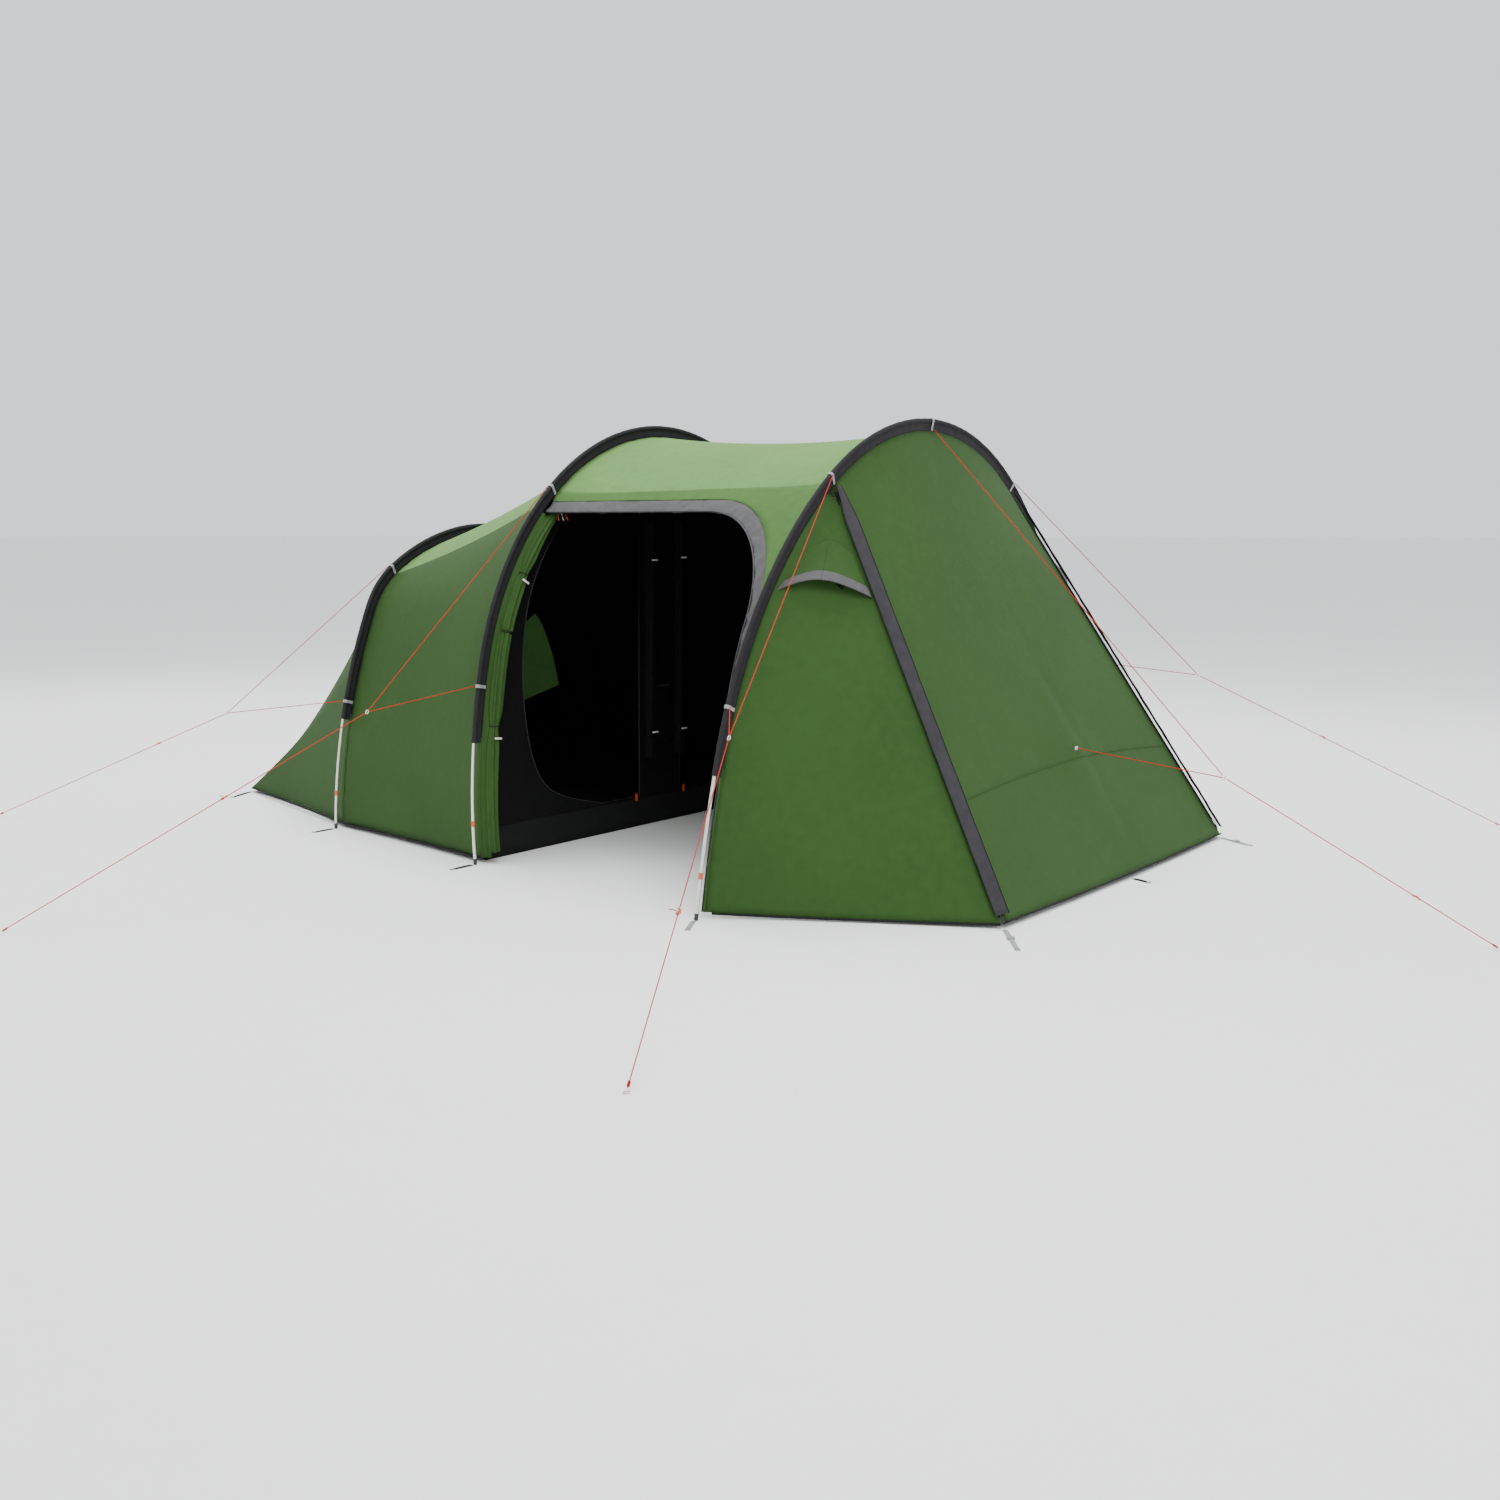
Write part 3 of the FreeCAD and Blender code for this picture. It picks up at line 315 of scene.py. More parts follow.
def mesh_screen(name, colour, painted_glow):
    """Insect mesh: threads with open cells between them, with a painted glow for the daylight that the cloth
    lets through.
    """
    material, tree, shader = start_material(name, colour, 0.8)
    # Emission is a painted glow: daylight through the fly, seen through the mesh.
    shader.inputs["Emission Color"].default_value = (*colour, 1)
    shader.inputs["Emission Strength"].default_value = painted_glow
    coords = patchy_colour(tree, shader, colour, 0.15, (6.0, 60.0))
    threads = []
    for axis in ("X", "Z"):
        bands = {"wave_type": "BANDS", "bands_direction": axis}
        wave = texture(tree, "ShaderNodeTexWave", coords, WAVES_PER_METRE / 0.002, **bands)
        threads.append(wave.outputs["Fac"])
    larger = node(tree, "ShaderNodeMath", operation="MAXIMUM")
    for index, thread in enumerate(threads):
        tree.links.new(thread, larger.inputs[index])
    cover = node(tree, "ShaderNodeMapRange", in_1=0.55, in_2=0.75, in_3=0.12, in_4=0.9)
    tree.links.new(larger.outputs[0], cover.inputs["Value"])
    tree.links.new(cover.outputs["Result"], shader.inputs["Alpha"])
    return material


# The window mesh is painted green and glowing: painted light of the lit fly seen through it.
M["mesh"] = mesh_screen("mesh", (0.05, 0.13, 0.035), 0.28)
# The vent's mesh is near-black with no glow: painted shade in the opening under the hood.
M["vent_mesh"] = mesh_screen("vent_mesh", (0.008, 0.009, 0.008), 0.0)


# ---------------------------------------------------------------- mesh helpers
def build(name, verts, faces, material, body, nodes=(), thickness=0.0, smooth=True, offset=0.0):
    """A piece from its vertices and faces, riding on a body and standing for its CAD nodes."""
    mesh = bpy.data.meshes.new(name)
    mesh.from_pydata([tuple(v) for v in verts], [], faces)
    mesh.validate()
    piece = bpy.data.objects.new(name, mesh)
    bpy.context.scene.collection.objects.link(piece)
    for slot in material if isinstance(material, (list, tuple)) else [material]:
        mesh.materials.append(M[slot])
    if smooth:
        mesh.shade_smooth()
    if thickness:
        solid = piece.modifiers.new("thickness", "SOLIDIFY")
        solid.thickness = thickness
        solid.offset = offset
    if body:
        place(piece, body, material if isinstance(material, str) else material[0], nodes)
    return piece


def place(piece, body, slot, nodes=()):
    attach(piece, body)
    if nodes:
        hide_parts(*nodes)


def blended(piece, slot, first, second, start, end, nodes=()):
    """A piece without a parent, baked where it stands: it does not follow its first body or its second."""
    if nodes:
        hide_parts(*nodes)
    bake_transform(piece)


def grid_faces(rows, columns, closed=False):
    faces = []
    for i in range(rows - 1):
        for j in range(columns if closed else columns - 1):
            k = (j + 1) % columns
            faces.append((i * columns + j, i * columns + k, (i + 1) * columns + k, (i + 1) * columns + j))
    return faces


def grid(name, rows, material, body, nodes=(), thickness=0.0012, closed=False, **more):
    verts = [p for row in rows for p in row]
    faces = grid_faces(len(rows), len(rows[0]), closed)
    return build(name, verts, faces, material, body, nodes, thickness, **more)


def ripple(s, t, seed, across=0.07, along=0.5):
    """A smooth random height from -1 to 1 whose ridges run along t."""
    return noise.noise(Vector((s / across, t / along, seed * 7.31)))


def tube(name, points, radius, material, body, nodes=(), sides=10, shape=None):
    """A tube through points; shape(i, angle) scales its radius."""
    rows = []
    up = Vector((0, 0, 1))
    for i, p in enumerate(points):
        ahead = points[min(i + 1, len(points) - 1)] - points[max(i - 1, 0)]
        run = ahead.normalized()
        side = run.cross(up if abs(run.z) < 0.95 else Vector((0, 1, 0))).normalized()
        other = side.cross(run)
        ring = []
        for j in range(sides):
            angle = 2 * math.pi * j / sides
            r = radius * (shape(i / (len(points) - 1), angle) if shape else 1.0)
            ring.append(p + (side * math.cos(angle) + other * math.sin(angle)) * r)
        rows.append(ring)
    verts = [p for row in rows for p in row]
    faces = grid_faces(len(rows), sides, True)
    faces.append(tuple(reversed(range(sides))))
    faces.append(tuple(range((len(rows) - 1) * sides, len(rows) * sides)))
    return build(name, verts, faces, material, body, nodes)


def flip(point, side):
    return Vector((point.x * side, point.y, point.z))


def ribbon(name, centre, across, out, width, material, body, nodes=(), thickness=0.0015):
    """A band along a row of points, with its width and its outward direction at each."""
    verts, faces = [], []
    for p, a, o in zip(centre, across, out):
        for sign_a, sign_o in ((-1, 0), (1, 0), (1, 1), (-1, 1)):
            verts.append(p + a * (sign_a * width / 2) + o * (sign_o * thickness))
    for i in range(len(centre) - 1):
        for j in range(4):
            k = (j + 1) % 4
            faces.append((i * 4 + j, i * 4 + k, i * 4 + 4 + k, i * 4 + 4 + j))
    last = (len(centre) - 1) * 4
    faces += [(3, 2, 1, 0), (last, last + 1, last + 2, last + 3)]
    return build(name, verts, faces, material, body, nodes, smooth=False)


# ---------------------------------------------------------------- guy lines
GUY_RADIUS = 0.00175
RING_GAP, LOOP_GAP = 0.010, 0.016
TAB_HEIGHT = 0.481
porch_corner = Vector((PORCH_HALF, PORCH_Y, HEM))
porch_middle = Vector((0, PORCH_Y - PORCH_BOW, HEM))
panel_top = front.at(0.0, 0.0505, -0.001)
tab_share = (front.at(0.0, 0.0505).z - TAB_HEIGHT) / (front.at(0.0, 0.0505).z - HEM)
tab_at = panel_top.lerp(porch_middle, tab_share)
# each guy: its hoop, its side, the ring where its branches meet, its peg, and its three lengths
GUYS = {
    "front_left": (front, -1, (-1.782, -1.568, 0.670), (-3.086, -2.196, 0), (1.37, 0.50, 1.59)),
    "front_right": (front, 1, (1.455, -1.906, 0.664), (2.015, -3.114, 0), (1.27, 0.64, 1.49)),
    "middle_left": (middle, -1, (-1.671, 0.194, 0.638), (-3.005, 0.511, 0), (1.26, 0.48, 1.51)),
    "rear_left": (rear, -1, (-1.111, 1.713, 0.494), (-1.637, 2.705, 0), (1.00, 0.60, 1.23)),
    "centre": (front, 0, (-0.201, -2.619, 0.442), (-0.437, -3.604, 0), (1.84, 0.70, 1.11)),
}
for name, (hoop, side, meeting, peg, lengths) in GUYS.items():
    GUYS[name] = (hoop, side, Vector(meeting), Vector(peg), lengths)


def cord(name, start, end, node_name):
    """A taut cord between two points, as a curve."""
    curve = bpy.data.curves.new(name, "CURVE")
    curve.dimensions = "3D"
    curve.bevel_depth = GUY_RADIUS
    curve.bevel_resolution = 3
    spline = curve.splines.new("NURBS")
    spline.points.add(2)
    for spot, p in zip(spline.points, (start, start.lerp(end, 0.5), end)):
        spot.co = (*p, 1)
    spline.order_u = 3
    spline.use_endpoint_u = True
    spline.resolution_u = 12
    piece = bpy.data.objects.new(name, curve)
    bpy.context.scene.collection.objects.link(piece)
    curve.materials.append(M["guy_cord"])
    place(piece, ROOT, "guy_cord", [node_name])


def guy_starts(hoop, side, name, meeting):
    """Where a guy's two branches leave the tent: ridge and tab for the centre guy, else two bands."""
    if side == 0:
        return [front.at(0.0, 0.044, -0.013), tab_at + Vector((0, -0.012, 0))]
    angles = (side * hoop.crown, side * hoop.angle_at(LOW_BAND[name.split("_")[0]], 0))
    return [hoop.at(a, 0.004, math.copysign(0.013, meeting.y - hoop.foot_y)) for a in angles]


def main_leg(meeting, peg):
    """The main leg's lower end, just above the ground, and its direction."""
    peg_up = peg + Vector((0, 0, GUY_RADIUS + 0.0005))
    return peg_up, (peg_up - meeting).normalized()


def add_guys():
    for name, (hoop, side, meeting, peg, lengths) in GUYS.items():
        starts = guy_starts(hoop, side, name, meeting)
        for start, part, length in zip(starts, ("upper", "lower"), lengths):
            run = (meeting - start).normalized()
            cord(f"{name}_guy_{part}", start + run * 0.001, meeting - run * RING_GAP, name + "_guy")
        peg_up, run = main_leg(meeting, peg)
        end = peg_up - run * LOOP_GAP
        cord(f"{name}_guy_main", meeting + run * RING_GAP, end, name + "_guy")


add_guys()

# ---------------------------------------------------------------- runners and the panel's tab
RUNNER_SHARE = {
    "front_left": 0.562,
    "front_right": 0.414,
    "middle_left": 0.42,
    "rear_left": 0.298,
    "centre": 0.715,
}


def runner(name):
    """A runner: two loops of moulded plastic round the cord, and the cord's short tail."""
    meeting = GUYS[name][2]
    peg, leg = main_leg(meeting, GUYS[name][3])
    centre = meeting.lerp(peg, RUNNER_SHARE[name])
    side = leg.cross(Vector((0, 0, 1))).normalized()
    up = side.cross(leg)
    loop = []
    for k in range(49):
        turn = 2 * math.pi * k / 48
        across = side * (0.0052 * math.sin(2 * turn)) + up * (0.0020 * math.cos(2 * turn))
        loop.append(centre + leg * (0.0125 * math.sin(turn + 0.4)) + across)
    body = name + "_runner"
    tube(body + "_loops", loop, 0.0021, "runner_plastic", body, [body], sides=10)
    root = centre + leg * 0.002
    tail = [root + side * (0.0035 + 0.024 * i / 8) + up * (0.006 * math.sin(i / 4) + 0.001) for i in range(9)]
    tube(body + "_tail", tail, 0.0014, "guy_cord", body, sides=8)


def guy_knots():
    """The wrapped knot at the end of each guy's main leg."""
    for name, (*_, meeting, peg, _) in GUYS.items():
        peg_up, run = main_leg(meeting, peg)
        across = run.cross(Vector((0, 0, 1))).normalized()
        other = across.cross(run)
        start = peg_up - run * (LOOP_GAP + 0.020)
        coil = []
        for k in range(61):
            turn = 2 * math.pi * k / 15
            spoke = across * math.cos(turn) + other * math.sin(turn)
            coil.append(start + run * (0.016 * k / 60) + spoke * 0.0030)
        tube(name + "_guy_knot", coil, 0.0013, "guy_cord", ROOT, sides=6)


def panel_tab():
    """The white webbing tab sewn over the panel's seam, with a stitched cross."""
    rows = []
    for i in range(9):
        v = i / 8 * 2 - 1
        row = []
        for k in range(11):
            u = k / 10 * 2 - 1
            dome = 0.0035 * (1 - u * u) * (1 - v * v)
            row.append(tab_at + Vector((0.013 * u, -0.0062 - dome, 0.007 * v)))
        rows.append(row)
    grid("panel_tab", rows, "tab_webbing", ROOT, ["panel_guy_tab"], thickness=0.0018)
    for sign in (-1, 1):
        spots = (-1, -0.5, 0, 0.5, 1)
        line = [tab_at + Vector((0.010 * t, -0.0105 + 0.0030 * t * t, 0.005 * t * sign)) for t in spots]
        tube(f"panel_tab_stitch_{(sign + 1) // 2}", line, 0.0005, "webbing", ROOT, sides=6)


for name in GUYS:
    runner(name)
guy_knots()
panel_tab()

# ---------------------------------------------------------------- sleeves and bands
STEP = 0.012  # distance between the sleeves' rings


def sleeve(name, hoop):
    """The pole pocket with its flat web, slightly ruched where the fabric bunches on the pole."""
    end = hoop.angle_at(SLEEVE_END, POLE)
    length = 2 * hoop.length_to(end)
    rows = []
    for i, angle in enumerate(hoop.spots(-end, end, int(length / STEP), POLE)):
        inward, normal = hoop.inward(angle), hoop.normal()
        base = hoop.at(angle)
        s = i * STEP
        row = []
        for k in range(13):
            turn = math.pi * (0.06 + 1.88 * k / 12)
            r = 0.0093 + 0.0013 * ripple(s, k * 0.4, 3, 0.018, 1.0)
            row.append(base + inward * (POLE + math.cos(turn) * r) + normal * (math.sin(turn) * r))
        wave = 0.0034 * ripple(s, 0.1, 5, 0.035, 1.0)
        web_at = ((0.030, 1.0), (0.042, 0.5), (0.056, 0.0))
        row += [base + inward * depth + normal * (wave * share - 0.0008) for depth, share in web_at]
        web = [base + inward * depth + normal * (wave * share + 0.0008) for depth, share in reversed(web_at)]
        rows.append(web + row)
    nodes = [name + "_sleeve"]
    piece = grid(name + "_sleeve_cloth", rows, "sleeve_fabric", ROOT, nodes, thickness=0.0, closed=True)


def band(index, hoop, angle):
    """A webbing loop over the sleeve."""
    inward, normal = hoop.inward(angle), hoop.normal()
    along = inward.cross(normal)
    origin = hoop.at(angle)
    outline = []
    for k in range(13):
        turn = math.pi * k / 12
        outline.append((0.009 - 0.0102 * math.sin(turn), 0.0102 * math.cos(turn)))
    outline = [(0.047, 0.004), (0.028, 0.006)] + outline + [(0.028, -0.006), (0.047, -0.004)]
    centre = [origin + inward * a + normal * b for a, b in outline]
    middle_of_band = origin + inward * 0.012
    out = [(p - middle_of_band).normalized() for p in centre]
    name, across = f"webbing_band_{index}", [along] * len(centre)
    ribbon(name, centre, across, out, 0.013, "webbing", ROOT, ["webbing_bands"])


for hoop_name, hoop in HOOPS.items():
    sleeve(hoop_name, hoop)
band(0, front, 0.0)
band_index = 1
for hoop_name, hoop in HOOPS.items():
    for side in (-1, 1):
        for angle in (hoop.crown, hoop.angle_at(LOW_BAND[hoop_name])):
            band(band_index, hoop, side * angle)
            band_index += 1


# ---------------------------------------------------------------- fly between the hoops
def edge_wrinkle(s, distance, seed):
    """Short wrinkles that run away from a taut edge."""
    return 0.0035 * ripple(s, distance, seed, 0.045, 0.3) * math.exp(-distance / 0.12)


def bay_point(first, second, a, b, v, s, span, sag, seed):
    """A point of the cloth between two hoops: it sags between them and wrinkles at the sleeves."""
    p = first.at(a, FLY, 0.001).lerp(second.at(b, FLY, -0.001), v)
    inward = (first.inward(a) * (1 - v) + second.inward(b) * v).normalized()
    shape = 4 * v * (1 - v)
    top = math.cos(min(abs(a), math.pi / 2))
    depth = shape * sag * (0.35 + 0.65 * top)
    depth += edge_wrinkle(s, v * span, seed) + edge_wrinkle(s, (1 - v) * span, seed + 1)
    depth += 0.003 * shape * ripple(s, v * span, seed + 2, 0.16, 0.9)
    return p + inward * depth


def bay_angles(hoop, start, end, counts):
    """Angles from start to end with a fixed number of steps on each arc."""
    stops = [start] + [a for a in (-hoop.knee, -hoop.crown, hoop.crown, hoop.knee) if start < a < end] + [end]
    angles = []
    for a, b, count in zip(stops, stops[1:], counts):
        angles += hoop.spots(a, b, count, FLY)[:-1]
    return angles + [end]


def bay(name, first, second, left, nodes, sag, seed):
    """The whole cloth over a bay, from the left hem or shoulder seam to the right hem."""
    counts = (26, 30, 44, 30, 26) if left == "hem" else (44, 30, 26)
    ends = []
    for hoop in (first, second):
        hem = hoop.angle_at(HEM, FLY)
        ends.append(bay_angles(hoop, -hem if left == "hem" else -hoop.crown, hem, counts))
    span = abs(second.foot_y - first.foot_y)
    steps = 44
    rows = []
    for j, (a, b) in enumerate(zip(*ends)):
        s = j * 0.027
        rows.append([bay_point(first, second, a, b, i / steps, s, span, sag, seed) for i in range(steps + 1)])
    piece = grid(name, rows, ["fly_fabric", "roof_fabric"], ROOT, nodes)
    # The crown's faces take roof_fabric, the fly cloth with painted light on its top.
    crown = (0, 44) if left != "hem" else (56, 100)
    for index, face in enumerate(piece.data.polygons):
        face.material_index = int(crown[0] <= index // steps < crown[1])


bay("living_cloth", front, middle, "seam", ["living_roof", "living_right_side"], 0.040, 11)
bedroom_nodes = ["bedroom_roof", "bedroom_left_side", "bedroom_right_side"]
bay("bedroom_cloth", middle, rear, "hem", bedroom_nodes, 0.030, 21)


# ---------------------------------------------------------------- open side with its door
DOOR_TOP, DOOR_CORNER, DOOR_JAMB, TRIM = 1.445, 0.420, 0.038, 0.046


def side_point(y, z, inset=FLY):
    """The left side's surface at a place given by its y and height."""
    a, b = front.angle_at(z, inset), middle.angle_at(z, inset)
    p, q = front.at(-a, inset), middle.at(-b, inset)
    return p.lerp(q, (y - p.y) / (q.y - p.y))


def jamb_share(z):
    """How much of the jamb's width is left at a height: the zip runs in towards the hoop as it goes down."""
    return max(0.12, min(1.0, (z - 0.35) / 0.75))


def door_outline(trim, steps=60):
    """Places (y, z) along the door's edge, from the middle hoop, round the corner and down to the ground."""
    lean = math.tan(front.lean)
    jamb = FRONT_Y + DOOR_JAMB + trim * 0.6
    bend = DOOR_TOP - trim - DOOR_CORNER
    head = jamb + bend * lean + DOOR_CORNER
    points = []
    for i in range(steps):
        points.append((MIDDLE_Y - 0.016 + (head - MIDDLE_Y + 0.016) * i / steps, DOOR_TOP - trim))
    for i in range(steps):
        turn = math.pi / 2 * i / steps
        points.append((head - DOOR_CORNER * math.sin(turn), bend + DOOR_CORNER * math.cos(turn)))
    for i in range(steps + 1):
        z = bend + (HEM - bend) * i / steps
        share = jamb_share(z) / jamb_share(bend)
        points.append((FRONT_Y + (jamb - FRONT_Y) * share + z * lean, z))
    return points


def side_strip(outer, inner, columns, lift):
    """Rows across the left side between two lines of (y, z) places; lift(j, t) sinks them inwards."""
    rows = []
    for j, (o, q) in enumerate(zip(outer, inner)):
        row = []
        for i in range(columns + 1):
            t = i / columns
            y, z = o[0] + (q[0] - o[0]) * t, o[1] + (q[1] - o[1]) * t
            row.append(side_point(y, z) + front.inward(-front.angle_at(z, FLY)) * lift(j, t))
        rows.append(row)
    return rows


def left_side():
    """The cloth left round the side door: above it and beside the front hoop."""
    outer = []
    top_front, top_middle = front.at(-front.crown, FLY, 0.001), middle.at(-middle.crown, FLY, -0.001)
    for i in range(91):
        p = top_middle.lerp(top_front, i / 90)
        outer.append((p.y, p.z))
    for i in range(1, 91):
        z = top_front.z + (HEM - top_front.z) * i / 90
        p = front.at(-front.angle_at(z, FLY), FLY, 0.001)
        outer.append((p.y, z))

    def wrinkle(j, t):
        return 0.0016 * ripple(j * 0.02, t * 0.1, 31, 0.05, 0.3)

    rows = side_strip(outer, door_outline(0.0), 8, wrinkle)
    # side_fabric here is the fly cloth painted lighter: painted light on the left side; its slot is
    # fly_fabric.
    piece = grid("living_left_cloth", rows, "side_fabric", None)
    place(piece, ROOT, "fly_fabric", ["living_left_side"])


def side_trim():
    """The grey trim along the door's edge, puckered by its zip."""

    def pucker(j, t):
        slant = j * 0.016 - 0.02 * t
        broad = 0.0085 * t * ripple(slant, t * 0.1, 41, 0.04, 0.6)
        return 0.002 + (broad + 0.0048 * ripple(slant, t, 42, 0.016, 0.6))

    rows = side_strip(door_outline(0.0), door_outline(TRIM), 6, pucker)
    piece = grid("side_door_trim_cloth", rows, "trim_fabric", ROOT, ["side_door_trim"], thickness=0.0022)
    edge = [side_point(y, z) + Vector((-0.001, 0, 0)) for y, z in door_outline(TRIM)]
    tube("side_door_zip", edge[::2], 0.0032, "zip_coil", ROOT, sides=8)


left_side()
side_trim()


# ---------------------------------------------------------------- tail
TAIL_SPLIT = 0.770


def tail_cloth(name, inset, corner, low, material, nodes, sag, seed):
    """The sloping cloth from the rear hoop down to its straight foot."""
    split, end = rear.angle_at(TAIL_SPLIT, inset), rear.angle_at(low, inset)
    angles = rear.spots(-end, -split, 20, inset)[:-1] + rear.spots(-split, split, 70, inset)[:-1]
    angles += rear.spots(split, end, 20, inset)
    whole = rear.length_to(split, inset)
    rows = []
    for j, angle in enumerate(angles):
        share = max(-1.0, min(1.0, math.copysign(rear.length_to(abs(angle), inset), angle) / whole))
        top = rear.at(angle, inset, 0.001)
        foot = Vector((corner.x * share, corner.y, low))
        inward = rear.inward(angle)
        row = []
        for i in range(41):
            v = i / 40
            shape = 4 * v * (1 - v)
            depth = shape * sag + edge_wrinkle(j * 0.02, v * 1.7, seed)
            depth += 0.004 * shape * ripple(j * 0.02 * (1 - 0.6 * v), v * 1.7, seed + 1, 0.12, 1.2)
            row.append(top.lerp(foot, v) + (inward + Vector((0, -0.5, -0.3))).normalized() * depth)
        rows.append(row)
    piece = grid(name, rows, material, ROOT, nodes)
    return piece


tail_corner = Vector((TAIL_HALF, TAIL_Y, HEM))
tail_nodes = ["tail_back", "tail_left_side", "tail_right_side"]
tail_cloth("tail_cloth", FLY, tail_corner, HEM, "fly_fabric", tail_nodes, 0.030, 51)


# ---------------------------------------------------------------- porch
DOOR_EDGE, PANEL_EDGE, DOOR_INSET = 0.014, 0.016, 0.075
zip_top = front.at(front.crown, 0.0555, -0.012)
zip_foot = porch_corner
zip_run = (zip_foot - zip_top).normalized()
foot_inside = front.at(front.angle_at(HEM, DOOR_INSET), DOOR_INSET, -0.005)
to_foot = foot_inside - zip_top
to_door = (to_foot - zip_run * to_foot.dot(zip_run)).normalized()
door_out = to_door.cross(zip_run).normalized()
if door_out.y > 0:
    door_out = -door_out
front_out = Vector((0, -(zip_top.z - HEM), zip_top.y - PORCH_Y)).normalized()
flap_out = (door_out + front_out).normalized()
flap_out = (flap_out - zip_run * flap_out.dot(zip_run)).normalized()


def zip_point(share, towards_door=0.0):
    return zip_top.lerp(zip_foot, share) + to_door * towards_door


def door_edge_point(height):
    return front.at(front.angle_at(height, DOOR_INSET), DOOR_INSET, -0.005)


def door_point(share, height):
    drop = (zip_top.z - height) / (zip_top.z - zip_foot.z)
    return door_edge_point(height).lerp(zip_point(drop, DOOR_EDGE), share)


def porch_front():
    """The panel between the zips, pulled out at its tab by the centre guy."""
    trim = PANEL_EDGE / front.radii[0]
    angles = front.spots(trim - front.crown, front.crown - trim, 60, FLY)
    rows = []
    for j, angle in enumerate(angles):
        share = j / 60 * 2 - 1
        top = front.at(angle, FLY, -0.001)
        foot = Vector((share * (PORCH_HALF - PANEL_EDGE), PORCH_Y - PORCH_BOW * (1 - share * share), HEM))
        row = []
        for i in range(73):
            v = i / 72
            shape = 4 * v * (1 - v) * (1 - share * share)
            depth = 0.022 * shape + edge_wrinkle(j * 0.026, v * 1.9, 61)
            depth += 0.004 * shape * ripple(j * 0.026, v * 1.9, 62, 0.14, 1.4)
            pull = math.exp(-((share * 0.9) ** 2 + (v - tab_share) ** 2 * 3.5) / 0.035)
            depth -= 0.020 * pull
            crease = math.exp(-(((share - 0.10 - 0.25 * (v - tab_share)) / 0.035) ** 2))
            depth += 0.006 * crease * math.exp(-(((v - tab_share) / 0.22) ** 2))
            row.append(top.lerp(foot, v) - front_out * depth)
        rows.append(row)
    piece = grid("porch_front_cloth", rows, "fly_fabric", ROOT, ["porch_front_panel"])
    seam_row = round(tab_share * 72) + 1
    seam = [row[seam_row] + front_out * 0.0012 for row in rows]
    tube("porch_seam_0", seam, 0.0022, "fly_fabric", ROOT, sides=6)


def porch_door(side, name):
    """The curved door from the sleeve to its zip, sewn at the hoop and baked in place."""
    start, end = front.crown + math.radians(2), front.angle_at(HEM, FLY)
    angles = front.spots(start, end, 60, FLY)
    total = front.length_to(end, FLY) - front.length_to(start, FLY)
    hinge_top, hinge_foot = door_edge_point(1.440), door_edge_point(HEM)
    rows = []
    for j, angle in enumerate(angles):
        share = 0.03 + 0.97 * (front.length_to(angle, FLY) - front.length_to(start, FLY)) / total
        hoop_side = front.at(angle, FLY, -0.002)
        zip_side = zip_point(share, DOOR_EDGE - 0.004)
        row = []
        for i in range(41):
            v = i / 40
            shape = 4 * v * (1 - v)
            depth = 0.012 * shape + edge_wrinkle(j * 0.025, v * 0.9, 71)
            depth += 0.004 * shape * ripple(j * 0.025, v * 0.9, 72, 0.10, 0.6)
            row.append(flip(hoop_side.lerp(zip_side, v) - door_out * depth, side))
        rows.append(row if side > 0 else list(reversed(row)))
    piece = grid(name + "_porch_door_cloth", rows, "fly_fabric", None)
    hinge = hinge_top.lerp(hinge_foot, 0.5)
    beyond = hinge - (hinge - zip_point(0.5)).normalized() * 0.12
    door = name + "_porch_door"
    ends = tuple(flip(hinge, side)), tuple(flip(beyond, side))
    blended(piece, "fly_fabric", ROOT, door, *ends, [door])
    hem = [p + Vector((0, 0, -0.004)) for p in (rows[-1] if side > 0 else list(reversed(rows[-1])))]
    tube(name + "_porch_door_hem", hem[1:], 0.0042, "hem_tape", name + "_porch_door", sides=8)


def zip_tapes(side, name):
    """The tapes that carry the zip: one sewn to the door, one to the panel."""
    to_panel = zip_run.cross(front_out).normalized()
    to_panel = to_panel if to_panel.x < 0 else -to_panel
    for label, away, out, body in (
        ("door", to_door, door_out, name + "_porch_door"),
        ("panel", to_panel, front_out, ROOT),
    ):
        rows = []
        for i in range(60):
            share = 0.012 + 0.976 * i / 59
            row = []
            for k in range(4):
                lift = 0.0004 * ripple(share * 1.7, k * 0.1, 83, 0.05, 0.5) - 0.0008
                row.append(flip(zip_point(share) + away * (0.0035 + 0.0052 * k) + out * lift, side))
            rows.append(row)
        grid(f"{name}_zip_{label}_tape", rows, "hem_tape", body)


def storm_flap(side, name):
    """The stiff flap over the zip: it tapers to a point at the hoop and has a black piped edge."""
    run = (zip_foot - zip_top).length
    across = flap_out.cross(zip_run).normalized()
    rows, edge = [], []
    for i in range(84):
        s = 0.006 + (run - 0.031) * i / 83
        half = 0.008 + 0.018 * min(1.0, s / 0.16)
        base = zip_top + zip_run * s
        row = []
        for k in range(9):
            t = k / 8 * 2 - 1
            lift = 0.0165 - 0.004 * t * t + 0.0026 * ripple(s, t * 0.1, 81, 0.05, 0.5)
            row.append(flip(base + across * (t * half) + flap_out * lift, side))
        rows.append(row)
        edge.append(row[0])
    body = name + "_porch_door"
    nodes = [name + "_storm_flap"]
    piece = grid(name + "_storm_flap_cloth", rows, "flap_fabric", body, nodes, thickness=0.0022)
    tube(name + "_flap_piping", edge, 0.0028, "hem_tape", body, sides=8)


def hood_place(t, v):
    """A place on the hood: t runs from the sleeve to the flap, v from its seam to its arched edge."""
    arch = math.sin(math.pi * t)
    seam = door_point(0.10 + 0.80 * t, 1.290 - 0.045 * (1 - arch))
    edge = door_point(-0.02 + 0.985 * t, 1.112 + 0.034 * arch - 0.022 * t)
    lift = 0.004 + 0.050 * v**1.3 * arch**0.75
    return seam.lerp(edge, v) + door_out * lift


